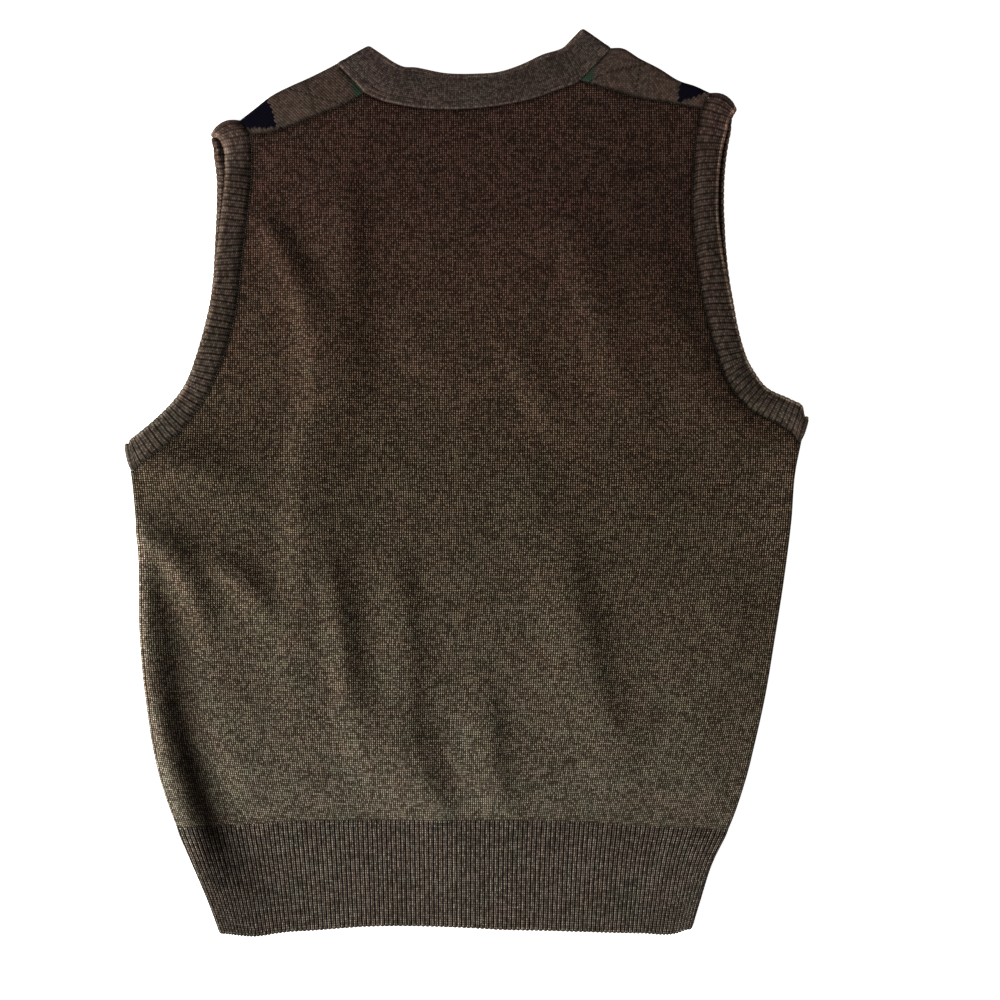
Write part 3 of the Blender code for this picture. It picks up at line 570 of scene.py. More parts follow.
def seam_dip(places, is_open):
    """Fall of a panel's outer skin towards its seams. is_open tells which edges have none."""
    from_side = np.pad(np.cumsum(lengths(np.diff(places, axis=1)), axis=1), ((0, 0), (1, 0)))
    from_foot = np.pad(np.cumsum(lengths(np.diff(places, axis=0)), axis=0), ((1, 0), (0, 0)))
    from_side = np.where(is_open[:, None], from_side, np.inf)
    nearest = np.minimum(from_foot[-1:] - from_foot, from_side)
    at_foot = FOOT_DIP_SHARE * bell(from_foot, SEAM_DIP_REACH)
    return -SEAM_DIP * np.maximum(bell(nearest, SEAM_DIP_REACH), at_foot)


def body_knit(place):
    """Cloth coordinates at places on the body: the wales keep their share of the width."""
    x, y = np.moveaxis(place, -1, 0)
    left, right = [side_curves[side](np.minimum(y, KNIT_DRAWN_BELOW)) for side in SIDES]
    across = (x - left) / (right - left) - 0.5
    bow = KNIT_BOW * np.clip(y / HEM_LEVEL, 0.0, 1.0) ** 2 * (2 * across) ** 2
    return np.stack([across * KNIT_WIDTH, y - bow], axis=-1)


def join_halves(halves):
    """Parts of a left half and of a right half, which runs inward too, as whole rows."""
    return [np.concatenate([left, right[:, ::-1]], axis=1) for left, right in zip(*halves)]


def panel_parts(places, dips, turn, knit_at):
    """Skins, knit and depth of a panel's flat layer with its side folds, left to right."""
    halves = []
    turns = np.linspace(pi / 2, turn, QUARTER_STEPS, endpoint=False)[None]
    for side in SIDES:
        inward = SIDE_INWARD[side]
        flat = places[side]
        fold = round_fold(flat[:, :1] - inward * FOLD_RADIUS, inward, turns)
        fold_skins = skins(fold, turns, inward, JERSEY_WALL)
        for points in fold_skins:
            points[:, 0, 2] += half_gap(turn)
        fold_knit = knit_at(np.repeat(flat[:, :1], QUARTER_STEPS, axis=1))
        fold_knit[..., 0] += FOLD_RADIUS * np.abs(turn - turns) * OUTWARD_X[side]
        # the seams' painted shade follows the dip of the skin
        depth = -dips[side] / SEAM_DIP
        if turn == TOP_LAYER:
            depth = add_shades(depth, flat)
        fold_depth = np.repeat(depth[:, :1], QUARTER_STEPS, axis=1)
        flat_parts = (*skins(flat, turn, inward, JERSEY_WALL, dips[side]), knit_at(flat), depth)
        fold_parts = (*fold_skins, fold_knit, fold_depth)
        halves.append([np.concatenate(pair, axis=1) for pair in zip(fold_parts, flat_parts)])
    return join_halves(halves)


def link_piece(name, mesh_data, material):
    """Put a finished bmesh, in millimetres, into the scene as a piece at the origin."""
    bmesh.ops.scale(mesh_data, vec=[MM] * 3, verts=mesh_data.verts[:])
    piece = add_mesh(name, mesh_data, material)
    piece.data.shade_smooth()
    piece.data.set_sharp_from_angle(angle=SHARP_ANGLE)
    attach(piece, "root")
    return piece


def link_wall(name, mesh_data, material):
    """Turn the faces of a closed wall outward and link it."""
    bmesh.ops.recalc_face_normals(mesh_data, faces=mesh_data.faces[:])
    if mesh_data.calc_volume(signed=True) < 0:
        bmesh.ops.reverse_faces(mesh_data, faces=mesh_data.faces[:])
    return link_piece(name, mesh_data, material)


def numbered_grid(knit, depth):
    """A grid that carries each corner's number, its knit coordinates and its depth."""
    rows, columns = depth.shape
    grid = bmesh.new()
    bmesh.ops.create_grid(grid, x_segments=columns - 1, y_segments=rows - 1, size=0.5)
    number = grid.verts.layers.int.new("number")
    depth_layer = grid.verts.layers.float.new("depth")
    for vert in grid.verts:
        column = round((vert.co.x + 0.5) * (columns - 1))
        row = round((vert.co.y + 0.5) * (rows - 1))
        vert[number] = row * columns + column
        vert[depth_layer] = depth[row, column]
    knit_map = grid.loops.layers.uv.new("knit")
    flat_knit = knit.reshape(-1, 2)
    for face in grid.faces:
        for corner in face.loops:
            corner[knit_map].uv = flat_knit[corner.vert[number]]
    return grid, number


def cloth_wall(name, outer, inner, knit, depth, material, cuts=None):
    """A closed wall from rows of outer and inner points. cuts marks the faces that go."""
    grid, number = numbered_grid(knit, depth)
    if cuts is not None:
        gone = [face for face in grid.faces
                if cuts.flat[min(vert[number] for vert in face.verts)]]
        bmesh.ops.delete(grid, geom=gone, context="FACES")
    extruded = bmesh.ops.extrude_face_region(grid, geom=grid.faces[:])["geom"]
    inner_verts = {item for item in extruded if isinstance(item, bmesh.types.BMVert)}
    points = outer.reshape(-1, 3), inner.reshape(-1, 3)
    for vert in grid.verts:
        vert.co = points[vert in inner_verts][vert[number]]
    return link_wall(name, grid, material)


def armhole_cuts(parts, first_row):
    """Marks the faces beside the armholes, where a panel has no side fold."""
    cuts = np.zeros(parts[0].shape[:2], bool)
    cuts[first_row:, :QUARTER_STEPS] = True
    cuts[first_row:, -QUARTER_STEPS - 1:] = True
    return cuts


class Value:
    """A node's output. The usual signs between outputs and numbers add Math nodes."""

    def __init__(self, socket):
        self.socket = socket
        self.tree = socket.id_data

    def __add__(self, other):
        return maths("ADD", self, other)

    def __sub__(self, other):
        return maths("SUBTRACT", self, other)

    def __rsub__(self, other):
        return maths("SUBTRACT", other, self)

    def __mul__(self, other):
        return maths("MULTIPLY", self, other)

    def __truediv__(self, other):
        return maths("DIVIDE", self, other)

    def __pow__(self, other):
        return maths("POWER", self, other)


def add_node(kind, values, tree=None, **settings):
    """A new node's outputs. It joins the tree of the outputs that it is given."""
    tree = tree or next(value.tree for value in values.values() if isinstance(value, Value))
    made = tree.nodes.new("ShaderNode" + kind)
    for name, value in settings.items():
        setattr(made, name, value)
    plug(made, values)
    return [Value(socket) for socket in made.outputs]


def maths(operation, *values):
    """A Math node's value."""
    return add_node("Math", dict(enumerate(values)), operation=operation)[0]


def off_middle(value):
    """How far a value lies from the middle of its unit."""
    return maths("ABSOLUTE", maths("FRACT", value) - 0.5)


def ramp(value, low, high, start=0.0, end=1.0):
    """A value carried from one range to another, held at its ends."""
    values = {"Value": value, "From Min": low, "From Max": high, "To Min": start, "To Max": end}
    return add_node("MapRange", values, clamp=True)[0]


def blend(share, first, second, kind="MIX"):
    """Two colours mixed by a share."""
    return add_node("Mix", {0: share, 6: first, 7: second}, data_type="RGBA", blend_type=kind)[2]


def multiply(first, second):
    """Two colours multiplied."""
    return blend(1.0, first, second, "MULTIPLY")


def three_shades(value, marks, shades):
    """A colour that passes through three shades as a value passes three marks."""
    colour = blend(ramp(value, *marks[:2]), *shades[:2])
    return blend(ramp(value, *marks[1:]), colour, shades[2])


def knit_coordinates(tree):
    """The piece's own knit coordinates, in millimetres across and along the wales."""
    knit = add_node("UVMap", {}, tree, uv_map="knit")[0]
    return add_node("SeparateXYZ", {0: knit})[:2]


def object_place(tree):
    """Places in the vest's own frame."""
    return add_node("TexCoord", {}, tree)[3]


def wool_depth(tree):
    """How deep in painted shade the wool lies, or below zero how much it is painted paler."""
    return add_node("Attribute", {}, tree, attribute_name="depth")[2]


def noise_at(x, y, scale, detail=2.0, roughness=0.5):
    """Noise over a plane of two values."""
    place = add_node("CombineXYZ", {0: x, 1: y})[0]
    values = {"Vector": place, "Scale": scale, "Detail": detail, "Roughness": roughness}
    return add_node("TexNoise", values, noise_dimensions="2D")[0]


def wander(value, across, along):
    """A knit coordinate that wanders a little, as hand-laid cloth does."""
    return value + (noise_at(across, along, 0.11, 2.0, 0.6) - 0.5) * STITCH_WANDER


def stitches(across, along, wale, course):
    """Height of V stitches from 0 to 1, and the wale and course numbers of each."""
    across, along = wander(across, across, along), wander(along, along, across)
    wale_place = across / wale
    off_wale = off_middle(wale_place) * 2.0
    slanted = along / course - off_wale * STITCH_SLANT
    across_leg = 1.0 - off_wale ** LEG_POWERS[0]
    along_leg = 1.0 - (off_middle(slanted) * 2.0) ** LEG_POWERS[1]
    height = across_leg * ramp(along_leg, 0.0, 1.0, 0.10, 1.0)
    return height, maths("FLOOR", wale_place), maths("FLOOR", slanted)


def marl(wale_number, course_number):
    """How light the yarn is at a stitch, from 0 to 1: flecks that run on along a course."""
    place = add_node("CombineXYZ", {0: wale_number, 1: course_number})[0]
    fleck = add_node("TexWhiteNoise", {"Vector": place}, noise_dimensions="2D")[0]
    drawn = noise_at(wale_number * 0.11, course_number * 0.71, 1.0, 3.0, 0.65)
    patch = noise_at(wale_number * 0.05, course_number * 0.07, 1.0)
    return fleck * MARL_SHARES[0] + drawn * MARL_SHARES[1] + patch * MARL_SHARES[2]


def start_knit(name, wale, course):
    """A new wool material and its stitches: height, wale and course numbers, and light."""
    material = add_material(name, WOOL_FINISH)
    knit = stitches(*knit_coordinates(material.node_tree), wale, course)
    return material, *knit, marl(*knit[1:])


def way_up(tree, low, high):
    """How far up the vest a place is, from 0 to 1 between two heights in metres."""
    x, y = add_node("SeparateXYZ", {0: object_place(tree)})[:2]
    return ramp(y + x * TINT_SLANT, low, high)


def tint_and_painted_light(colour, tints=BAND_TINTS, top=BAND_TOP):
    """Wool redder at the shoulders and olive at the hem, painted darker towards the shoulders as
    shade away from the lamp, with the painted shade or paling of its depth.
    """
    tree = colour.tree
    tint = blend(way_up(tree, HEM_TINT_Y, WAIST), *tints[:2])
    tint = blend(way_up(tree, WAIST, top), tint, tints[2])
    place = object_place(tree)
    cloud = add_node("TexNoise", {"Vector": place, "Scale": 55.0, "Detail": 3.0})[0]
    tint = multiply(tint, blend(ramp(cloud, 0.35, 0.65), *CLOUD_HUES))
    depth = wool_depth(tree)
    tint = blend(depth, tint, DEEP_SHADE)
    tint = multiply(tint, blend(ramp(depth, -1.0, 0.0), PALEST_TINT, WHITE))
    return multiply(colour, tint)


def finish_wool(material, colour, height, depth):
    """Give a wool material its colour and the relief of its stitches, in millimetres."""
    bump = add_node("Bump", {"Height": height, "Distance": depth * MM, "Strength": 1.0})[0]
    plug(material.node_tree.nodes["Principled BSDF"], {"Base Color": colour, "Normal": bump})
    return material


def yarn_colour(light, height, shades, gap=0.0, crest=3.40, top_gaps=NO_GAPS,
                powers=CREST_POWERS):
    """Colour of the yarn from its lightness, with the shares of it in a gap and on a crest:
    painted shade between the stitches and a painted highlight on their crests.
    """
    tree = light.tree
    power = ramp(way_up(tree, HEM_TINT_Y, WAIST), 0.0, 1.0, *powers[:2])
    upper_power = ramp(way_up(tree, WAIST, BACK_TOP), 0.0, 1.0, 0.0, powers[2] - powers[1])
    shade = ramp(height, 0.04, 0.92) ** (power + upper_power)
    channels = {}
    for number, ((start, lift), top_gap) in enumerate(zip(GAP_CHANNELS, top_gaps)):
        low = ramp(way_up(tree, WAIST, BACK_TOP), 0.0, 1.0, gap, gap + top_gap)
        channels[number] = ramp(shade, start, 1.0, low, crest * lift)
    colour = three_shades(light, MARL_MARKS, shades)
    return multiply(colour, add_node("CombineColor", channels)[0])


def knit_material(name, wale, course, shades, depth=0.6, tints=BAND_TINTS, top=BAND_TOP,
                  **stitch_look):
    """Marled jersey: V stitches, flecks along the courses, and the wool's finish."""
    material, height, _, _, light = start_knit(name, wale, course)
    colour = tint_and_painted_light(yarn_colour(light, height, shades, **stitch_look), tints, top)
    return finish_wool(material, colour, height, depth)


back_material = knit_material("back_wool", WALE, COURSE, WOOL_SHADES, tints=BACK_TINTS,
                              top=BACK_TOP, top_gaps=SHOULDER_GAPS, powers=BACK_POWERS)

# Shares of the way from the side to the middle at which columns run up a half
columns = np.concatenate([
    [0.0], EDGE_STEPS[1:] / HALF_WIDTH,
    np.linspace(0.0, SHOULDER_SHARE, SHOULDER_COLUMNS + 1)[1:],
    np.linspace(SHOULDER_SHARE, 1.0, NECK_COLUMNS + 1)[1:],
])
shoulder_part = columns[columns <= SHOULDER_SHARE + 1e-9]
neck_part = columns[len(shoulder_part):]
back_edges = {}
for side in SIDES:
    last, first = armhole_walks[side][0][[-1, 1]]
    even = np.linspace(last, first, ARMHOLE_ROWS + 1)[:-1]
    distances = np.concatenate([even, first + EDGE_STEPS[::-1]])
    back_edges[side] = panel_edge(side, TOP_LAYER, BODY_ROWS, distances)
body_rows = len(side_rows("left", BODY_ROWS)) - 1
back_heights = row_heights(back_edges.values())
beside_armhole = np.arange(len(back_heights)) >= body_rows
back_places = {}
for side in SIDES:
    foot = foot_line(side, columns)
    top = np.concatenate([
        shoulder_seam_line(side, shoulder_part / SHOULDER_SHARE),
        neck_seam_line(side, (neck_part - SHOULDER_SHARE) / (1 - SHOULDER_SHARE)),
    ])
    middle = mix(foot[-1], top[-1], back_heights)
    back_places[side] = fill_patch(back_edges[side], middle, foot, top, back_heights, columns)
back_dips = {side: seam_dip(back_places[side], beside_armhole) for side in SIDES}
back_parts = panel_parts(back_places, back_dips, TOP_LAYER, body_knit)
back = cloth_wall("back", *back_parts, back_material, armhole_cuts(back_parts, body_rows))
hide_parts("back_panel")


# ------------------------------------------------------------------------------------------
# Front
# One panel of argyle jersey, face down on the floor. Above the V neck its two shoulders
# wrap over round folds to the back, where the shoulder seams are.
# ------------------------------------------------------------------------------------------
V_POINT_X = 1.0
V_LEVELS = (94.0, 160.5)  # lowest place of the V's seam edge and of its free edge
V_BOW = 4.0
V_SHARE = 0.645  # how much of the armhole's length lies beside the V
FRONT_BODY_ROWS = 44
FRONT_ARMHOLE_ROWS = 62
V_HALF_WIDTH = 110.0  # of the front beside the V, to turn steps into shares of it
WRAP_STEPS = 12
# Rows from the shoulder fold to the shoulder seam, as shares of the way
STRIP_WAYS = np.concatenate([np.linspace(0.0, 0.9, 12)[1:], [0.94, 0.975, 1.0]])

# The argyle: diamonds that touch at their tips, with dotted lines through their middles
DIAMOND_WIDTH = 68.7
DIAMOND_HEIGHT = 118.0
DIAMOND_MIDDLE_X = 4.5
TIP_LEVEL = 318.0  # height at which the tips of the upper diamonds meet
NAVY = (0.0010, 0.0008, 0.0040)
GREEN = (0.018, 0.031, 0.020)
DOT_COLOUR = (0.007, 0.005, 0.004)
DOT_HALF_WIDTH = 0.45 * WALE / DIAMOND_WIDTH
FRONT_SHADES = ((0.054, 0.047, 0.037), (0.081, 0.071, 0.057), (0.115, 0.103, 0.085))
SHOULDER_STITCH_SHADES = ((0.012, 0.008, 0.006), (0.020, 0.014, 0.011), (0.032, 0.024, 0.019))
FLECK_MARKS = (0.35, 0.5, 0.65)
SHOULDER_STITCH_HEIGHT = -0.75  # above the cloth's skin
SHOULDER_STITCH_PITCH = 2.3
SHOULDER_STITCH_BEAD = (1.1, 0.9, 0.8)

# How the argyle lies on each shoulder, seen from above: the tip of the outermost navy
# diamond, the way from there to the next crossing of dotted lines, the stretch, and how
# many columns of diamonds out from the middle that tip is
SHOULDER_KNIT = {
    "left": ((-145.2, 271.6), (0.668, 0.744), 1.06, -2.5),
    "right": ((161.5, 289.3), (-0.760, 0.650), 1.15, 2.5),
}
SHOULDER_KNIT_FROM = 190.0  # heights between which the knit turns to lie as on a shoulder
SHOULDER_KNIT_FULL = 265.0


def neck_corner(side):
    """Seam and free end of the neckband on a shoulder fold."""
    return NECK_BACK[SIDE_END[side]].reshape(2, 2)


def v_edges(side, ways):
    """Seam and free edge of the V, at shares of the way from the shoulder to the point."""
    edges = []
    for corner, level in zip(neck_corner(side), V_LEVELS):
        start = round_fold(corner, SHOULDER_INWARD[side], SURFACE_LAYER)
        places = mix(start, [V_POINT_X + OUTWARD_X[side] * V_FLAT / 2, level], ways)
        places[:, 0] += OUTWARD_X[side] * V_BOW * np.sin(pi * ways)
        edges.append(places)
    return edges


def shoulder_fold_line(side, ways):
    """The shoulder fold, at shares of the way from the armhole to the neck."""
    line = mix(ARMHOLES[side][0, :2], neck_corner(side)[0], ways)
    line[:, 1] += table_curve(SHOULDERS, "share", "fold_" + side)(ways)
    return line


def fold_frame(side):
    """A shoulder fold's direction towards the neck, and the way across it, inward."""
    along = neck_corner(side)[0] - ARMHOLES[side][0, :2]
    along = along / hypot(*along)
    return along, np.array([along[1], -along[0]]) * -OUTWARD_X[side]


def unfold(side, places, fold_places):
    """Where places on a shoulder's top layer would lie if the front were opened flat."""
    along, across = fold_frame(side)
    way = places - fold_places
    reach = np.asarray(way @ across + FOLD_RADIUS * (pi - 2))[..., None]
    return fold_places + np.asarray(way @ along)[..., None] * along - reach * across


def front_knit(places):
    """Knit coordinates of the front at places of the opened panel."""
    plain = places - (DIAMOND_MIDDLE_X, TIP_LEVEL)
    up = (places[..., 1] - SHOULDER_KNIT_FROM) / (SHOULDER_KNIT_FULL - SHOULDER_KNIT_FROM)
    up = np.clip(up, 0.0, 1.0)
    up = (up * up * (3 - 2 * up))[..., None]
    knit = plain
    for side, (tip, way, stretch, columns_out) in SHOULDER_KNIT.items():
        fold_line = shoulder_fold_line(side, np.linspace(0.0, 1.0, 401))
        behind = fold_line[np.argmin(np.abs((tip - fold_line) @ fold_frame(side)[0]))]
        tip_open = unfold(side, tip, behind)
        course = unfold(side, np.add(tip, way), behind) - tip_open
        course *= -OUTWARD_X[side] / hypot(*course)
        offset = (places - tip_open) / stretch
        turned = np.stack(
            [offset @ course + columns_out * DIAMOND_WIDTH,
             offset @ np.array([-course[1], course[0]])], axis=-1
        )
        here = (places[..., 0] * OUTWARD_X[side] > 0)[..., None]
        knit = np.where(here, plain + (turned - plain) * up, knit)
    return knit


def is_odd(value):
    """1 for odd numbers and 0 for even ones."""
    return maths("GREATER_THAN", maths("FLOORED_MODULO", value, 2.0), 0.5)


def argyle_material(name):
    """Marled jersey with diamonds and dotted lines worked into it, stitch by stitch."""
    material, height, wale_number, course_number, light = start_knit(name, WALE, COURSE)
    ground = tint_and_painted_light(yarn_colour(light, height, FRONT_SHADES, gap=0.80, crest=1.22))
    u = (wale_number + 0.5) * (WALE / DIAMOND_WIDTH)
    v = (course_number + 0.5) * (COURSE / DIAMOND_HEIGHT) + 0.5
    slants = (u + v, u - v)
    is_ground = is_odd(maths("FLOOR", slants[0]) + maths("FLOOR", slants[1]))
    diamond = blend(is_odd(maths("FLOOR", maths("ABSOLUTE", u))), NAVY, GREEN)
    # painted shade between the diamonds' stitches and painted highlight on their crests
    diamond = multiply(diamond, ramp(height, 0.0, 0.75, 0.5, 1.2))
    colour = blend(is_ground, diamond, ground)
    lines = [maths("LESS_THAN", off_middle(slant), DOT_HALF_WIDTH) for slant in slants]
    # each stitch of a line is a dot, and some are nearly hidden
    dotted = maths("MAXIMUM", *lines) * ramp(height, 0.10, 0.50) * ramp(light, 0.40, 0.60, 0.55)
    return finish_wool(material, blend(dotted, colour, DOT_COLOUR), height, 0.3)


def shoulder_wrap(side, fold_line):
    """Skins, knit and depth of a shoulder, round its fold and down to the shoulder seam."""
    inward = SHOULDER_INWARD[side]
    turns = np.linspace(0.0, pi, WRAP_STEPS + 1)[1:, None]
    bend = round_fold(fold_line, inward, turns)
    open_bend = fold_line + inward * FOLD_RADIUS * (1 - turns[..., None])
    seam_line = shoulder_seam_line(side, front_columns) - inward * SEAM_GAP
    strip = mix(bend[-1], seam_line, STRIP_WAYS[:, None])
    band_seam = armhole_rungs(side, TOP_LAYER, armhole_walks[side][0][1] * STRIP_WAYS)[0]
    strip += (band_seam - strip[:, 0])[:, None] * ((1 - front_columns) ** 3)[None, :, None]
    seams = (seam_line, strip[:, :1], strip[:, -1:])
    from_seams = np.min([lengths(strip - seam) for seam in seams], axis=0)
    strip_dips = -SEAM_DIP * bell(from_seams, SEAM_DIP_REACH)
    opened = np.concatenate([open_bend, unfold(side, strip, fold_line)])
    turns = np.concatenate([turns, np.full((len(STRIP_WAYS), 1), TOP_LAYER)])
    dips = np.concatenate([np.zeros(bend.shape[:2]), strip_dips])
    both = skins(np.concatenate([bend, strip]), turns, inward, JERSEY_WALL, dips)
    # the last part is the depth: the seams' painted shade, from the dips
    return [
        np.concatenate([np.repeat(part[:, :1], QUARTER_STEPS, axis=1), part], axis=1)
        for part in (*both, front_knit(opened), -dips / SEAM_DIP)
    ]


front_columns = np.unique(np.concatenate([columns[::2], 1.0 - EDGE_STEPS[1:] / V_HALF_WIDTH]))
front_edges = {}
for side in SIDES:
    distances = np.linspace(armhole_walks[side][0][-1], 0.0, FRONT_ARMHOLE_ROWS + 1)
    front_edges[side] = panel_edge(side, SURFACE_LAYER, FRONT_BODY_ROWS, distances)
front_body_rows = len(side_rows("left", FRONT_BODY_ROWS)) - 1
front_heights = row_heights(front_edges.values())
v_rows = round(V_SHARE * FRONT_ARMHOLE_ROWS)
point_row = len(front_heights) - 1 - v_rows
front_places = {}
front_dips = {}
wraps = []
for side in SIDES:
    foot = foot_line(side, front_columns)
    fold_line = shoulder_fold_line(side, front_columns)
    top = round_fold(fold_line, SHOULDER_INWARD[side], SURFACE_LAYER)
    leg = v_edges(side, np.linspace(1.0, 0.0, v_rows + 1))[0]
    below_point = front_heights[:point_row] / front_heights[point_row]
    middle = np.concatenate([mix(foot[-1], leg[0], below_point), leg])
    places = fill_patch(front_edges[side], middle, foot, top, front_heights, front_columns)
    front_places[side] = places
    front_dips[side] = np.zeros(places.shape[:2])
    wraps.append(shoulder_wrap(side, fold_line))
front_parts = [
    np.concatenate(pair)
    for pair in zip(panel_parts(front_places, front_dips, SURFACE_LAYER, front_knit),
                    join_halves(wraps))
]
front_cuts = armhole_cuts(front_parts, front_body_rows)
front_cuts[point_row:, QUARTER_STEPS + len(front_columns) - 1] = True


def resample(line, marks, wanted):
    """Places on a line at wanted marks."""
    return np.stack([np.interp(wanted, marks, line[:, axis]) for axis in (0, 1)], axis=-1)


def stitch_chain(name, line, height, pitch, bead, material):
    """A chain of small stitches along a seam. bead is a stitch's length, width and depth."""
    marks = marks_along(line)
    wanted = (np.arange(int(marks[-1] / pitch)) + 0.5) * pitch
    places = resample(line, marks, wanted)
    ways = resample(line, marks, wanted + 0.5) - places
    levels = height + 2 * FOLD_RADIUS + puff(places)
    chain = bmesh.new()
    for place, way, level in zip(places, ways, levels):
        turn = Matrix.Rotation(np.arctan2(way[1], way[0]), 4, "Z")
        lie = Matrix.Translation([*place, level]) @ turn @ Matrix.Diagonal([*bead, 1.0])
        bmesh.ops.create_uvsphere(chain, u_segments=6, v_segments=4, radius=0.5, matrix=lie)
    return link_piece(name, chain, material)


def stitch_material(name, shades):
    """The yarn of a seam's stitches, in flecks of lighter and darker wool."""
    material = add_material(name, WOOL_FINISH)
    place = object_place(material.node_tree)
    fleck = add_node("TexNoise", {"Vector": place, "Scale": 420.0, "Detail": 2.0})[0]
    return finish_wool(material, three_shades(fleck, FLECK_MARKS, shades), fleck, 0.2)


for side in SIDES:
    stitch_chain(
        "shoulder_stitches_" + side, shoulder_seam_line(side, np.linspace(0.0, 1.0, 80)),
        SHOULDER_STITCH_HEIGHT, SHOULDER_STITCH_PITCH, SHOULDER_STITCH_BEAD,
        stitch_material("shoulder_stitch_wool_" + side, SHOULDER_STITCH_SHADES)
    )
front = cloth_wall("front", *front_parts, argyle_material("front_wool"), front_cuts)
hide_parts("front_panel")


# ------------------------------------------------------------------------------------------
# Hem rib
# Two halves of single rib, one linked to the back and one to the front, with rounded ribs
# and narrow grooves. They draw the body in, so the ribs lean with the sides.
# ------------------------------------------------------------------------------------------
HEM_WALL = 1.5
HEM_DEPTH = 82.0
HEM_RIBS = 118
HEM_RIB_PITCH = 3.1
HEM_RIB_LIFT = 0.85
HEM_SCALLOP = 0.7
HEM_GROOVE = 0.58
HEM_RIB_START = 0.30  # share of their height that the ribs have at the seam
# Rows of the hem, as shares of its depth
HEM_DOWNS = np.concatenate([
    [0.0, 0.008, 0.02, 0.04], np.linspace(0.07, 0.95, 18), [0.97, 0.982, 0.992, 1.0]
])
SEAM_EDGE_REACH = 1.6  # how far the shade of the hem's seam reaches
RIB_RISE_REACH = 5.0  # how far below the seam the ribs have their full height
HEM_ROLL = 0.6  # how far the lower edge rolls under, and over what width
HEM_ROLL_REACH = 1.1
HEM_SEAM_DEPTH = 0.6
GROOVE_FALL = 0.35  # share of a rib's lift by which a groove lies lower than the plain skin
LEAN_REACH = 65.0  # how far from a side the ribs still lean with it
HEM_SHADES = ((0.031, 0.023, 0.0185), (0.058, 0.044, 0.037), (0.102, 0.080, 0.069))
PALEST_GROOVE = 0.75  # how bright a groove is where the wool is palest
hem_edge_curve = table_curve(HEM_LINES, "share", "edge")


def rib_profile(phase, reach=0.75):
    """Height of round ribs by the number of them passed: 0 in a groove and 1 on top."""
    off_groove = np.abs(phase - np.round(phase)) * 2
    return np.sqrt(1 - (1 - np.minimum(off_groove / reach, 1.0)) ** 2)


def facing_out(turn):
    """1 where the outer skin faces up or out, and 0 where it lies on the floor."""
    return np.clip(1 - 1.5 * np.cos(turn), 0.0, 1.0)


def hem_across(ways, left_x, right_x, flat_turn):
    """x, turn and inward way across one half of the hem, from side seam to side seam."""
    quarter = FOLD_RADIUS * pi / 2
    whole = right_x - left_x - 2 * FOLD_RADIUS + 2 * quarter
    from_end = np.minimum(ways, 1 - ways) * whole
    turn = pi / 2 + (flat_turn - pi / 2) * np.minimum(from_end / quarter, 1.0)
    reach = FOLD_RADIUS * (1 - np.sin(turn)) + np.maximum(from_end - quarter, 0.0)
    on_left = ways < 0.5
    x = np.where(on_left, left_x + reach, right_x - reach)
    return x, turn, np.where(on_left[:, None], SIDE_INWARD["left"], SIDE_INWARD["right"])


def hem_half(name, flat_turn, steps, material):
    """One half of the hem, hung just below its panel. steps is its columns in each rib."""
    ways = np.linspace(0.0, 1.0, HEM_RIBS * steps + 1)
    phase = ways * HEM_RIBS
    ribs = rib_profile(phase)
    seam = np.concatenate([foot_line("left", columns), foot_line("right", columns)[::-1]])
    seam_ends = [float(side_curves[side](HEM_LINES["seam"][SIDE_END[side]])) for side in SIDES]
    # the ribs stand upright in the middle and lean in with the sides
    from_left = ways * (seam_ends[1] - seam_ends[0])
    from_right = (1 - ways) * (seam_ends[1] - seam_ends[0])
    rows = []
    for down in HEM_DOWNS:
        levels = HEM_LINES["seam"] + (HEM_LINES["edge"] - HEM_LINES["seam"]) * down
        left_x, right_x = [float(side_curves[side](levels[SIDE_END[side]])) for side in SIDES]
        x = from_left + (left_x - seam_ends[0]) * np.exp(-from_left / LEAN_REACH)
        x = x + (right_x - seam_ends[1]) * np.exp(-from_right / LEAN_REACH)
        leaning = (x - x[0]) / (x[-1] - x[0])
        x, turn, inward = hem_across(leaning, left_x, right_x, flat_turn)
        across = (x - left_x - FOLD_RADIUS) / (right_x - left_x - 2 * FOLD_RADIUS)
        across = np.clip(across, 0.0, 1.0)
        seam_x = seam[0, 0] + (seam[-1, 0] - seam[0, 0]) * across
        seam_y = np.interp(seam_x, seam[:, 0], seam[:, 1]) - SEAM_GAP
        edge_y = hem_edge_curve(across) + HEM_SCALLOP * (1 - ribs) * down**8
        places = np.stack([x, seam_y + (edge_y - seam_y) * down], axis=-1)
        at_seam = bell(HEM_DEPTH * down, SEAM_EDGE_REACH)
        rise = 1 - bell(HEM_DEPTH * down, RIB_RISE_REACH)
        roll = bell(HEM_DEPTH * (1 - down), HEM_ROLL_REACH)
        share = HEM_RIB_START + (1 - HEM_RIB_START) * rise
        lift = HEM_RIB_LIFT * (ribs * share - GROOVE_FALL * (1 - ribs))
        lift = (lift - HEM_ROLL * roll) * facing_out(turn)
        both = skins(places, turn, inward, HEM_WALL, lift)
        for points in both:
            points[[0, -1], 2] += half_gap(flat_turn)
        knit = np.stack([phase * HEM_RIB_PITCH, 0 * phase - HEM_DEPTH * down], axis=-1)
        # painted shade in the grooves beside the seam
        depth = HEM_SEAM_DEPTH * at_seam * (1 - ribs)
        if flat_turn == TOP_LAYER:
            depth = add_shades(depth, places)
        rows.append((*both, knit, depth))
    piece = cloth_wall(name, *[np.array(part) for part in zip(*rows)], material)
    return piece


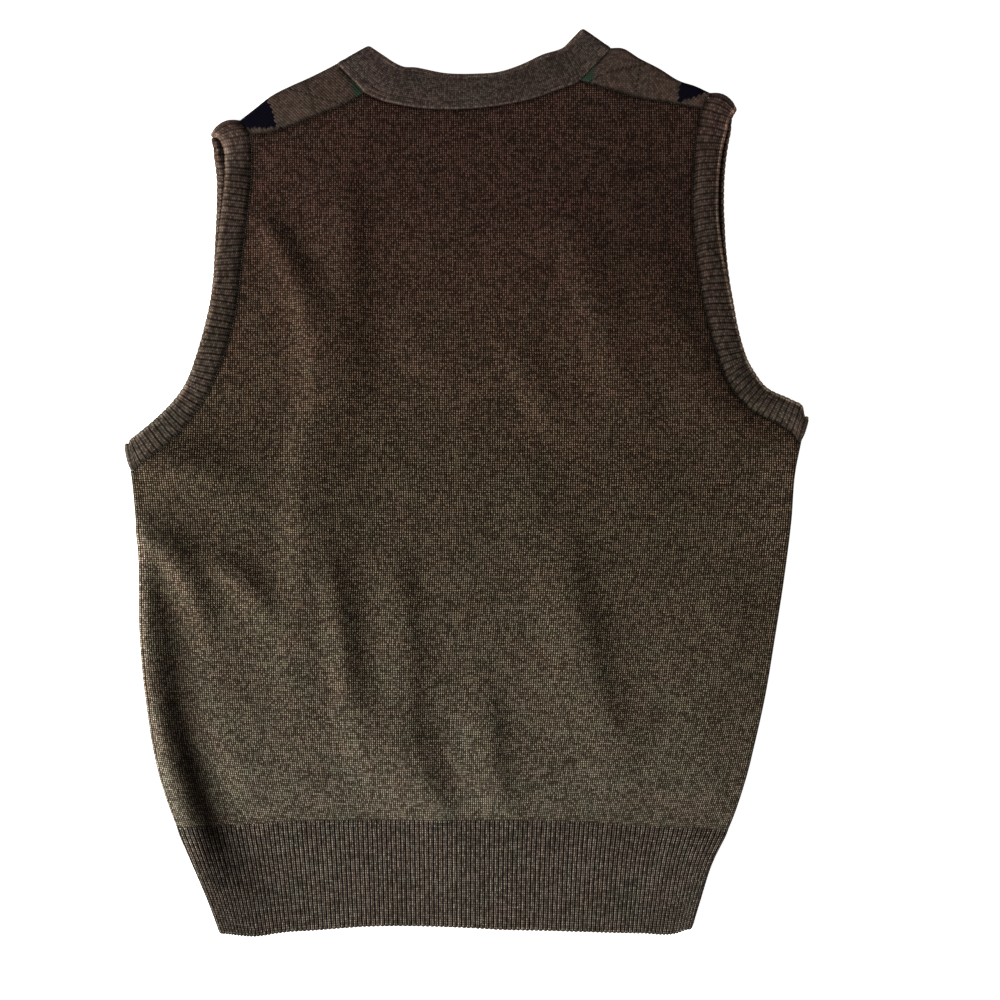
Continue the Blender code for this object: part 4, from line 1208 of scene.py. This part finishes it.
def rib_material(name, pitch, groove, shades, gap, crest, depth=0.35, groove_shade=0.0,
                 groove_start=0.12, uneven_share=0.55):
    """Marled rib knit: two wales along each rib, and painted shade in the groove on either side.

    The groove's widths are shares of half a rib, and uneven_share is how much they vary.
    """
    material, height, _, _, light = start_knit(name, pitch / 2, COURSE)
    colour = tint_and_painted_light(yarn_colour(light, height, shades, gap, crest))
    across, along = knit_coordinates(colour.tree)
    off_groove = maths("PINGPONG", across / pitch, 0.5) * 2.0
    off_groove = off_groove + maths("SINE", along * (2 * pi / COURSE)) * 0.05
    uneven = noise_at(across * 0.4, along, 0.55, 3.0, 0.7) - 0.5
    off_groove = off_groove + uneven * uneven_share
    deepest = ramp(wool_depth(colour.tree), -1.0, 0.0, PALEST_GROOVE, groove_shade)
    # the grooves' painted shade, lighter where the wool is paler
    colour = multiply(colour, ramp(off_groove, groove_start, groove, deepest))
    return finish_wool(material, colour, height, depth)


hem_material = rib_material("hem_wool", HEM_RIB_PITCH, HEM_GROOVE, HEM_SHADES,
                            gap=0.14, crest=2.72)
hem_back = hem_half("hem_back", TOP_LAYER, 8, hem_material)
hem_front = hem_half("hem_front", SURFACE_LAYER, 4, hem_material)
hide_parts("hem_rib_back")
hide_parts("hem_rib_front")


# ------------------------------------------------------------------------------------------
# Armhole bands
# Each is one ring of broad rib with narrow grooves, linked on along its inner edge and
# folded at the shoulder and at the underarm. Its free edge is a rolled line of stitches.
# ------------------------------------------------------------------------------------------
ARMBAND_WALL = 2.2
ARMBAND_WIDTH = 21.0
ARMBAND_RIB_LIFT = 0.55
ARMBAND_RIB_STEPS = 8
ARMBAND_RIB_REACH = 0.6
ARMBAND_SHOULDER_BOW = 3.4  # how far a band's middle stands out where it crosses the shoulder
ARMBAND_BOW_REACH = 8.0
ARMBAND_GROOVE = 0.66
ARMBAND_GROOVE_SHADE = 0.26
FOLD_RIBS = 2  # ribs that lie round each fold
EDGE_ROLL = 0.55  # how far the middle of a free edge stands out, and how much ribs change it
EDGE_RIBS = 0.5
ARMBAND_EDGE = 1.03  # share of the width at which it is
LOWER_RIB_LIFT = 0.4  # height of the lower layer's ribs on the side that faces up
DRAG_REACH = 0.2  # share of the width over which the drag of the ribs fades

# Across a band from seam to free edge: height of the skin, and how much the ribs show
ARMBAND_LINES = table(
    "share height ribs",
    (0, -0.75, 0), (0.03, -0.45, 0.2), (0.08, 0.1, 0.7), (0.17, 0.8, 1), (0.28, 1.55, 1),
    (0.4, 2, 1), (0.55, 2, 1), (0.68, 1.9, 1), (0.79, 1.75, 1), (0.86, 1.5, 0.9),
    (0.9, 1.3, 0.4), (0.93, 1.2, 0.1), (0.96, 0.95, 0), (0.985, 0.5, 0), (1, -0.35, 0),
)
ARMBAND_PITCHES = table(
    "distance pitch",
    (0, 6.8), (34, 6.4), (52, 5.1), (82, 4.6), (104, 4.8), (130, 5.2), (166, 5), (206, 5.6),
    (250, 5.1), (290, 5.3), (330, 5.3),
)
# How much paler the top layer of each band is, with fainter grooves
BAND_PALINGS = table(
    "distance left right",
    (0, 0.92, 0.55), (22, 0.78, 0.6), (44, 0.16, 0.36), (90, 0.23, 0.29), (120, 0.2, 0.2),
    (175, 0.09, 0.14), (215, 0.4, 0.27), (250, 0.2, 0.12), (280, 0.35, 0.25), (330, 0.4, 0.3),
)
# How far the ribs' seam ends are dragged along the seam
RIB_DRAGS = table(
    "distance left right",
    (0, 0, 0), (30, 0.8, 0.8), (60, 0.5, 2.4), (100, -0.5, 2.6), (160, 0, 1.2),
    (220, -1, 1.5), (320, 0, 0),
)
# Width of the painted shade in the hollow between a band's layers
HOLLOWS = table(
    "distance left right",
    (0, 6, 6), (12, 5.6, 6), (27, 5.4, 5.8), (38, 3.4, 5.8), (50, 2.2, 5.8), (125, 1.8, 5),
    (150, 1.7, 3.4), (185, 1.4, 1.6), (330, 1.2, 1.2),
)
HOLLOW_DEPTHS = {"left": 1.0, "right": 0.72}  # how dark the hollow's painted shade is
HOLLOW_START = 0.3  # the least width of lit skin, and the width over which it darkens
HOLLOW_EDGE = 1.4
LOWER_PALING = 0.5  # how much paler the lower layer is where it shows
SHOULDER_TUCK = 0.5  # how far a band's seam edge tucks in under the front's fold
ARMBAND_SHADES = ((0.030, 0.0234, 0.0177), (0.0505, 0.0408, 0.0312), (0.084, 0.069, 0.054))
ARMBAND_SEAM_DEPTH = 0.85  # how deep the seam's shade is, and how far it reaches on to a band
ARMBAND_SEAM_SHADE = 2.2
# Stripes painted paler along a band, start and end from its seam, and tint: painted highlights
# along the rolled free edge
ARMBAND_STRIPES = {
    "left": ((16.8, 18.6, (1.45, 1.45, 1.42)), (18.6, 21.4, (2.45, 2.45, 2.4))),
    "right": ((18.0, 19.3, (1.45, 1.45, 1.4)), (19.3, 21.4, (5.2, 5.2, 4.9))),
}
STRIPE_EDGE = 0.35
# The chain of stitches that links a band to the body
LINKING_HEIGHT = -0.45
LINKING_STOP = 3.0  # how far before the underarm fold the chain ends
LINKING_PITCH = 1.9
LINKING_BEAD = (1.35, 0.85, 0.9)
# Yarn of each chain. The right chain is painted darker, as shade on the side away from the lamp.
LINKING_SHADES = {
    "left": ((0.017, 0.013, 0.010), (0.033, 0.026, 0.021), (0.060, 0.049, 0.041)),
    "right": ((0.008, 0.006, 0.004), (0.014, 0.010, 0.008), (0.026, 0.020, 0.016)),
}


def band_wall(ends, turn, inward, wall, lines, ribs, bow=0.0, drag=0.0):
    """Sections of a band: its outer skin from seam to free edge, the edge, then the inner."""
    seam, free = ends
    turn, ribs, bow, drag = [np.broadcast_to(part, len(seam)) for part in (turn, ribs, bow, drag)]
    inward = np.broadcast_to(inward, seam.shape)
    shares = lines["share"]
    rib_share = lines["ribs"] * ribs[:, None]
    across = free - seam
    across = across / lengths(across)[:, None]
    places = mix((seam + across * SEAM_GAP)[:, None], free[:, None], shares[None])
    places -= inward[:, None] * (np.outer(bow, np.sin(pi * shares)))[..., None]
    along = np.stack([across[:, 1], -across[:, 0]], axis=-1)
    along *= np.sign(np.sum(along * np.gradient(seam, axis=0), axis=1))[:, None]
    places += along[:, None] * np.outer(drag, np.exp(-shares / DRAG_REACH))[..., None]
    up = np.maximum(-np.cos(turn), 0.0)[:, None]
    lift = ARMBAND_RIB_LIFT * (rib_share - GROOVE_FALL) * facing_out(turn)[:, None]
    lift = lines["height"] * up + lift * (rib_share > 0)
    outer, inner = skins(places, turn[:, None], inward[:, None], wall, lift)
    inner[..., 2] += LOWER_RIB_LIFT * rib_share * np.maximum(np.cos(turn), 0.0)[:, None]
    edge = (outer[:, -1] + inner[:, -1]) / 2
    edge[:, :2] += across * (EDGE_ROLL + EDGE_RIBS * (ribs[:, None] - 0.5))
    return np.concatenate([outer, edge[:, None], inner[:, ::-1]], axis=1)


def band_depth(lines, seam_depth, reach, start, edge=HOLLOW_EDGE):
    """Depth across a band's sections. The inner skin falls into shade over an edge."""
    shares = lines["share"]
    outer = seam_depth * bell(shares * ARMBAND_WIDTH, reach)
    from_edge = (1 - shares) * ARMBAND_WIDTH
    shaded = np.clip((from_edge[None] - start[:, None]) / edge, 0.0, 1.0)
    outer = np.broadcast_to(outer, shaded.shape)
    return np.concatenate([outer, np.zeros((len(start), 1)), shaded[:, ::-1]], axis=1)


def round_section(lines, edge, width):
    """Places across a band, from the seam over the free edge and back to the seam."""
    return np.concatenate([lines["share"], [edge], lines["share"][::-1], [0.0]]) * width


def roll_ring(name, sections, across, along, depth, material):
    """A closed band from its sections in order, rolled up both ways and welded."""
    sections = np.concatenate([sections, sections[:1]])
    sections = np.concatenate([sections, sections[:, :1]], axis=1)
    knit = np.stack(np.broadcast_arrays(across[:, None], along[None]), axis=-1)
    grid, number = numbered_grid(knit, np.pad(depth, ((0, 1), (0, 1)), mode="wrap"))
    points = sections.reshape(-1, 3)
    for vert in grid.verts:
        vert.co = points[vert[number]]
    bmesh.ops.remove_doubles(grid, verts=grid.verts[:], dist=1e-4)
    return link_wall(name, grid, material)


def tint_stripes(material, stripes):
    """Tint a material's wool in stripes that follow the band."""
    shader = material.node_tree.nodes["Principled BSDF"]
    colour = Value(shader.inputs["Base Color"].links[0].from_socket)
    along = knit_coordinates(colour.tree)[1]
    for start, end, tint in stripes:
        inside = ramp(along, start - STRIPE_EDGE, start + STRIPE_EDGE)
        share = inside * ramp(along, end - STRIPE_EDGE, end + STRIPE_EDGE, 1.0, 0.0)
        colour = multiply(colour, blend(share, WHITE, tint))
    plug(shader, {"Base Color": colour})
    return material


def armband_stations(side):
    """Distances along an armhole, a few to each rib, and the ribs passed at each."""
    fine = np.linspace(0.0, armhole_walks[side][0][-1], 4001)
    pitch = by_distance(ARMBAND_PITCHES, "pitch", fine)
    passed = np.concatenate([[0.0], np.cumsum(np.diff(fine) / pitch[1:])])
    ribs = round(passed[-1])
    steps = np.linspace(0.0, 1.0, ribs * ARMBAND_RIB_STEPS + 1)
    return np.interp(steps * passed[-1], passed, fine), steps * ribs


def fold_ends(rung, inward, turn):
    """Both ends of a rung, turned round a fold."""
    return [round_fold(end, inward, turn) for end in rung.reshape(2, 2)]


def armband(side):
    """One armhole band: the top layer, the underarm, the lower layer and the shoulder."""
    distances, phase = armband_stations(side)
    ribs = phase[-1]
    inward = SHOULDER_INWARD[side]
    bow = ARMBAND_SHOULDER_BOW * bell(distances, ARMBAND_BOW_REACH)
    drag = by_distance(RIB_DRAGS, side, distances)
    paling = by_distance(BAND_PALINGS, side, distances)
    outside = by_distance(PEEKS, side, distances)
    steps = np.linspace(0.0, 1.0, FOLD_RIBS * ARMBAND_RIB_STEPS + 1)[1:-1]
    sections = []
    passed = []
    depths = []

    def add(ends, turn, inward, phase, paling, bow=0.0, drag=0.0, lit=0.0, marks=0.0):
        profile = rib_profile(phase, ARMBAND_RIB_REACH)
        sections.append(
            band_wall(ends, turn, inward, ARMBAND_WALL, ARMBAND_LINES, profile, bow, drag))
        passed.append(phase)
        start = np.maximum(lit - by_distance(HOLLOWS, side, marks), HOLLOW_START)
        start = np.broadcast_to(start, len(phase))
        depth = band_depth(ARMBAND_LINES, ARMBAND_SEAM_DEPTH, ARMBAND_SEAM_SHADE, start)
        pale_rows = np.broadcast_to(paling, len(phase))[:, None]
        in_hollow = np.arange(depth.shape[1]) > len(ARMBAND_LINES["share"])
        depth = depth - pale_rows * np.where(in_hollow, 1 - depth, 1)
        depths.append(depth * np.where(in_hollow, HOLLOW_DEPTHS[side], 1.0))

    add(armhole_rungs(side, TOP_LAYER, distances), TOP_LAYER, inward, phase, paling, bow, drag)
    turns = pi * (1 - steps)
    ends = fold_ends(ARMHOLES[side][-1], SIDE_INWARD[side], turns)
    add(ends, turns, SIDE_INWARD[side], ribs + FOLD_RIBS * steps, paling[-1])
    ends = [end[::-1] for end in armhole_rungs(side, SURFACE_LAYER, distances)]
    add(ends, SURFACE_LAYER, inward, ribs + FOLD_RIBS + phase, LOWER_PALING, bow[::-1],
        lit=outside[::-1], marks=distances[::-1])
    seam, free = fold_ends(ARMHOLES[side][0], inward, pi * steps)
    seam += SHOULDER_TUCK * (seam - free) / lengths(seam - free)[:, None]
    add((seam, free), pi * steps, inward, 2 * ribs + FOLD_RIBS + FOLD_RIBS * steps, paling[0],
        ARMBAND_SHOULDER_BOW)
    passed.append([2 * ribs + 2 * FOLD_RIBS])
    pitch = armhole_walks[side][0][-1] / ribs
    across = np.concatenate(passed) * pitch
    material = rib_material("armband_wool_" + side, pitch, ARMBAND_GROOVE, ARMBAND_SHADES,
                            gap=0.52, crest=1.38, depth=0.3, groove_start=0.04,
                            groove_shade=ARMBAND_GROOVE_SHADE, uneven_share=0.8)
    piece = roll_ring("armband_" + side, np.concatenate(sections), across,
                      round_section(ARMBAND_LINES, ARMBAND_EDGE, ARMBAND_WIDTH),
                      np.concatenate(depths), tint_stripes(material, ARMBAND_STRIPES[side]))
    return piece, across[-1]


for side in SIDES:
    piece, length = armband(side)
    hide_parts("armhole_band_" + side)
    marks = armhole_walks[side][0]
    along_seam = np.linspace(marks[1], marks[-1] - LINKING_STOP, 300)
    seam_line = armhole_rungs(side, TOP_LAYER, along_seam)[0]
    linking = stitch_chain(
        "linking_" + side, seam_line, LINKING_HEIGHT, LINKING_PITCH, LINKING_BEAD,
        stitch_material("linking_wool_" + side, LINKING_SHADES[side])
    )
    length * MM


# ------------------------------------------------------------------------------------------
# Neckband
# A dense plain band in one piece: a thick rolled lip where it is linked to the body, then
# a flat band that rounds over at the neck. It runs on down the V under the back.
# ------------------------------------------------------------------------------------------
NECKBAND_WALL = 2.4
NECKBAND_WIDTH = 27.5
NECKBAND_STEP = 1.4
V_STEP = 3.0
NECKBAND_EDGE = 1.04
NECKBAND_WALE = 1.5
NECKBAND_COURSE = 1.45
MEASURED_LINE = 8  # the line of a section along which the band's length is measured
NECKBAND_LINES = table(
    "share height ribs",
    (0, 0.15, 0), (0.01, 0.75, 0), (0.028, 1.15, 0), (0.055, 1.3, 0), (0.11, 1.3, 0),
    (0.17, 1.18, 0), (0.21, 0.85, 0), (0.232, 0.62, 0), (0.255, 0.75, 0), (0.33, 0.92, 0),
    (0.5, 0.88, 0), (0.68, 0.7, 0), (0.82, 0.42, 0), (0.91, 0.1, 0), (0.965, -0.25, 0),
    (1, -0.8, 0),
)
NECKBAND_SEAM_DEPTH = 0.6
NECKBAND_SEAM_SHADE = 0.5
NECKBAND_SHADE_EDGE = 0.1
# Stripes along the band from its seam: start, end and tint. The lip's edge and the edge at the
# neck carry painted highlights; the lip is paler and a line beside its edge darker.
NECKBAND_STRIPES = (
    (-1.0, 1.6, (1.50, 1.46, 1.42)),  # painted highlight on the lip's edge
    (1.9, 2.8, (0.92, 0.90, 0.90)),
    (3.0, 6.6, (1.30, 1.28, 1.24)),
    (24.6, 30.0, (2.0, 1.85, 1.85)),  # painted highlight on the edge at the neck, where the band rounds over
)
# How deep in painted shade the band's back lies, or below zero a painted highlight, by distance
# from the left shoulder fold
NECK_SHADE_MARKS = (0.0, 25.0, 50.0, 80.0, 110.0, 150.0, 185.0, 215.0, 300.0)
NECK_SHADE_SHARES = (-0.18, -0.12, 0.06, 0.02, -0.06, 0.20, 0.12, -0.03, 0.0)
CORNER_RADIUS = 2.8  # of the band's corners at the shoulder folds
NECKBAND_SHADES = ((0.036, 0.034, 0.030), (0.063, 0.060, 0.053), (0.110, 0.107, 0.093))


def even_walk(ends, step):
    """Rungs resampled so that their middles are about one step apart."""
    marks = marks_along((ends[0] + ends[1]) / 2)
    wanted = np.linspace(0.0, marks[-1], max(round(marks[-1] / step), 2) + 1)
    return [resample(end, marks, wanted) for end in ends]


def neck_fold(side, turns):
    """The neckband round a shoulder fold, with the corner of its free edge rounded off."""
    seam, free = fold_ends(NECK_BACK[SIDE_END[side]], SHOULDER_INWARD[side], turns)
    from_tips = FOLD_RADIUS * (1 - np.sin(turns))
    left = np.maximum(CORNER_RADIUS - from_tips, 0.0)
    cut = (CORNER_RADIUS - np.sqrt(CORNER_RADIUS**2 - left**2)) / NECKBAND_WIDTH
    return (seam, free + (seam - free) * cut[:, None]), turns, SHOULDER_INWARD[side]


neck_rungs = neck_walk(np.linspace(neck_marks[2], neck_marks[-3], 200))
left_top, right_top = [
    np.concatenate(fold_ends(NECK_BACK[SIDE_END[side]], SHOULDER_INWARD[side], TOP_LAYER))
    for side in SIDES
]
neck_rungs = np.concatenate([[left_top], neck_rungs, [right_top]])
legs = {side: even_walk(v_edges(side, np.linspace(0.0, 1.0, 60)), V_STEP) for side in SIDES}
fold_turns = np.linspace(0.0, pi, WRAP_STEPS + 1)[1:-1]
neck_parts = (
    (even_walk([neck_rungs[:, :2], neck_rungs[:, 2:]], NECKBAND_STEP), TOP_LAYER,
     SHOULDER_INWARD["left"]),
    neck_fold("right", fold_turns[::-1]),
    (legs["right"], SURFACE_LAYER, SHOULDER_INWARD["right"]),
    ([leg[::-1] for leg in legs["left"]], SURFACE_LAYER, SHOULDER_INWARD["left"]),
    neck_fold("left", fold_turns),
)
neck_sections = np.concatenate([
    band_wall(*part, NECKBAND_WALL, NECKBAND_LINES, 0.5) for part in neck_parts
])
middle_line = neck_sections[:, MEASURED_LINE]
neck_steps = np.linalg.norm(np.diff(middle_line, axis=0, append=middle_line[:1]), axis=1)
neck_across = np.concatenate([[0.0], np.cumsum(neck_steps)])
neck_depth = band_depth(NECKBAND_LINES, NECKBAND_SEAM_DEPTH, NECKBAND_SEAM_SHADE,
                        np.zeros(len(neck_sections)), NECKBAND_SHADE_EDGE)
neck_depth += np.interp(neck_across[:-1], NECK_SHADE_MARKS, NECK_SHADE_SHARES)[:, None]
neckband_material = knit_material("neckband_wool", NECKBAND_WALE, NECKBAND_COURSE,
                                  NECKBAND_SHADES, 0.25, gap=0.70, crest=1.6)
neckband = roll_ring("neckband_knit", neck_sections, neck_across,
                     round_section(NECKBAND_LINES, NECKBAND_EDGE, NECKBAND_WIDTH), neck_depth,
                     tint_stripes(neckband_material, NECKBAND_STRIPES))
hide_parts("neckband")
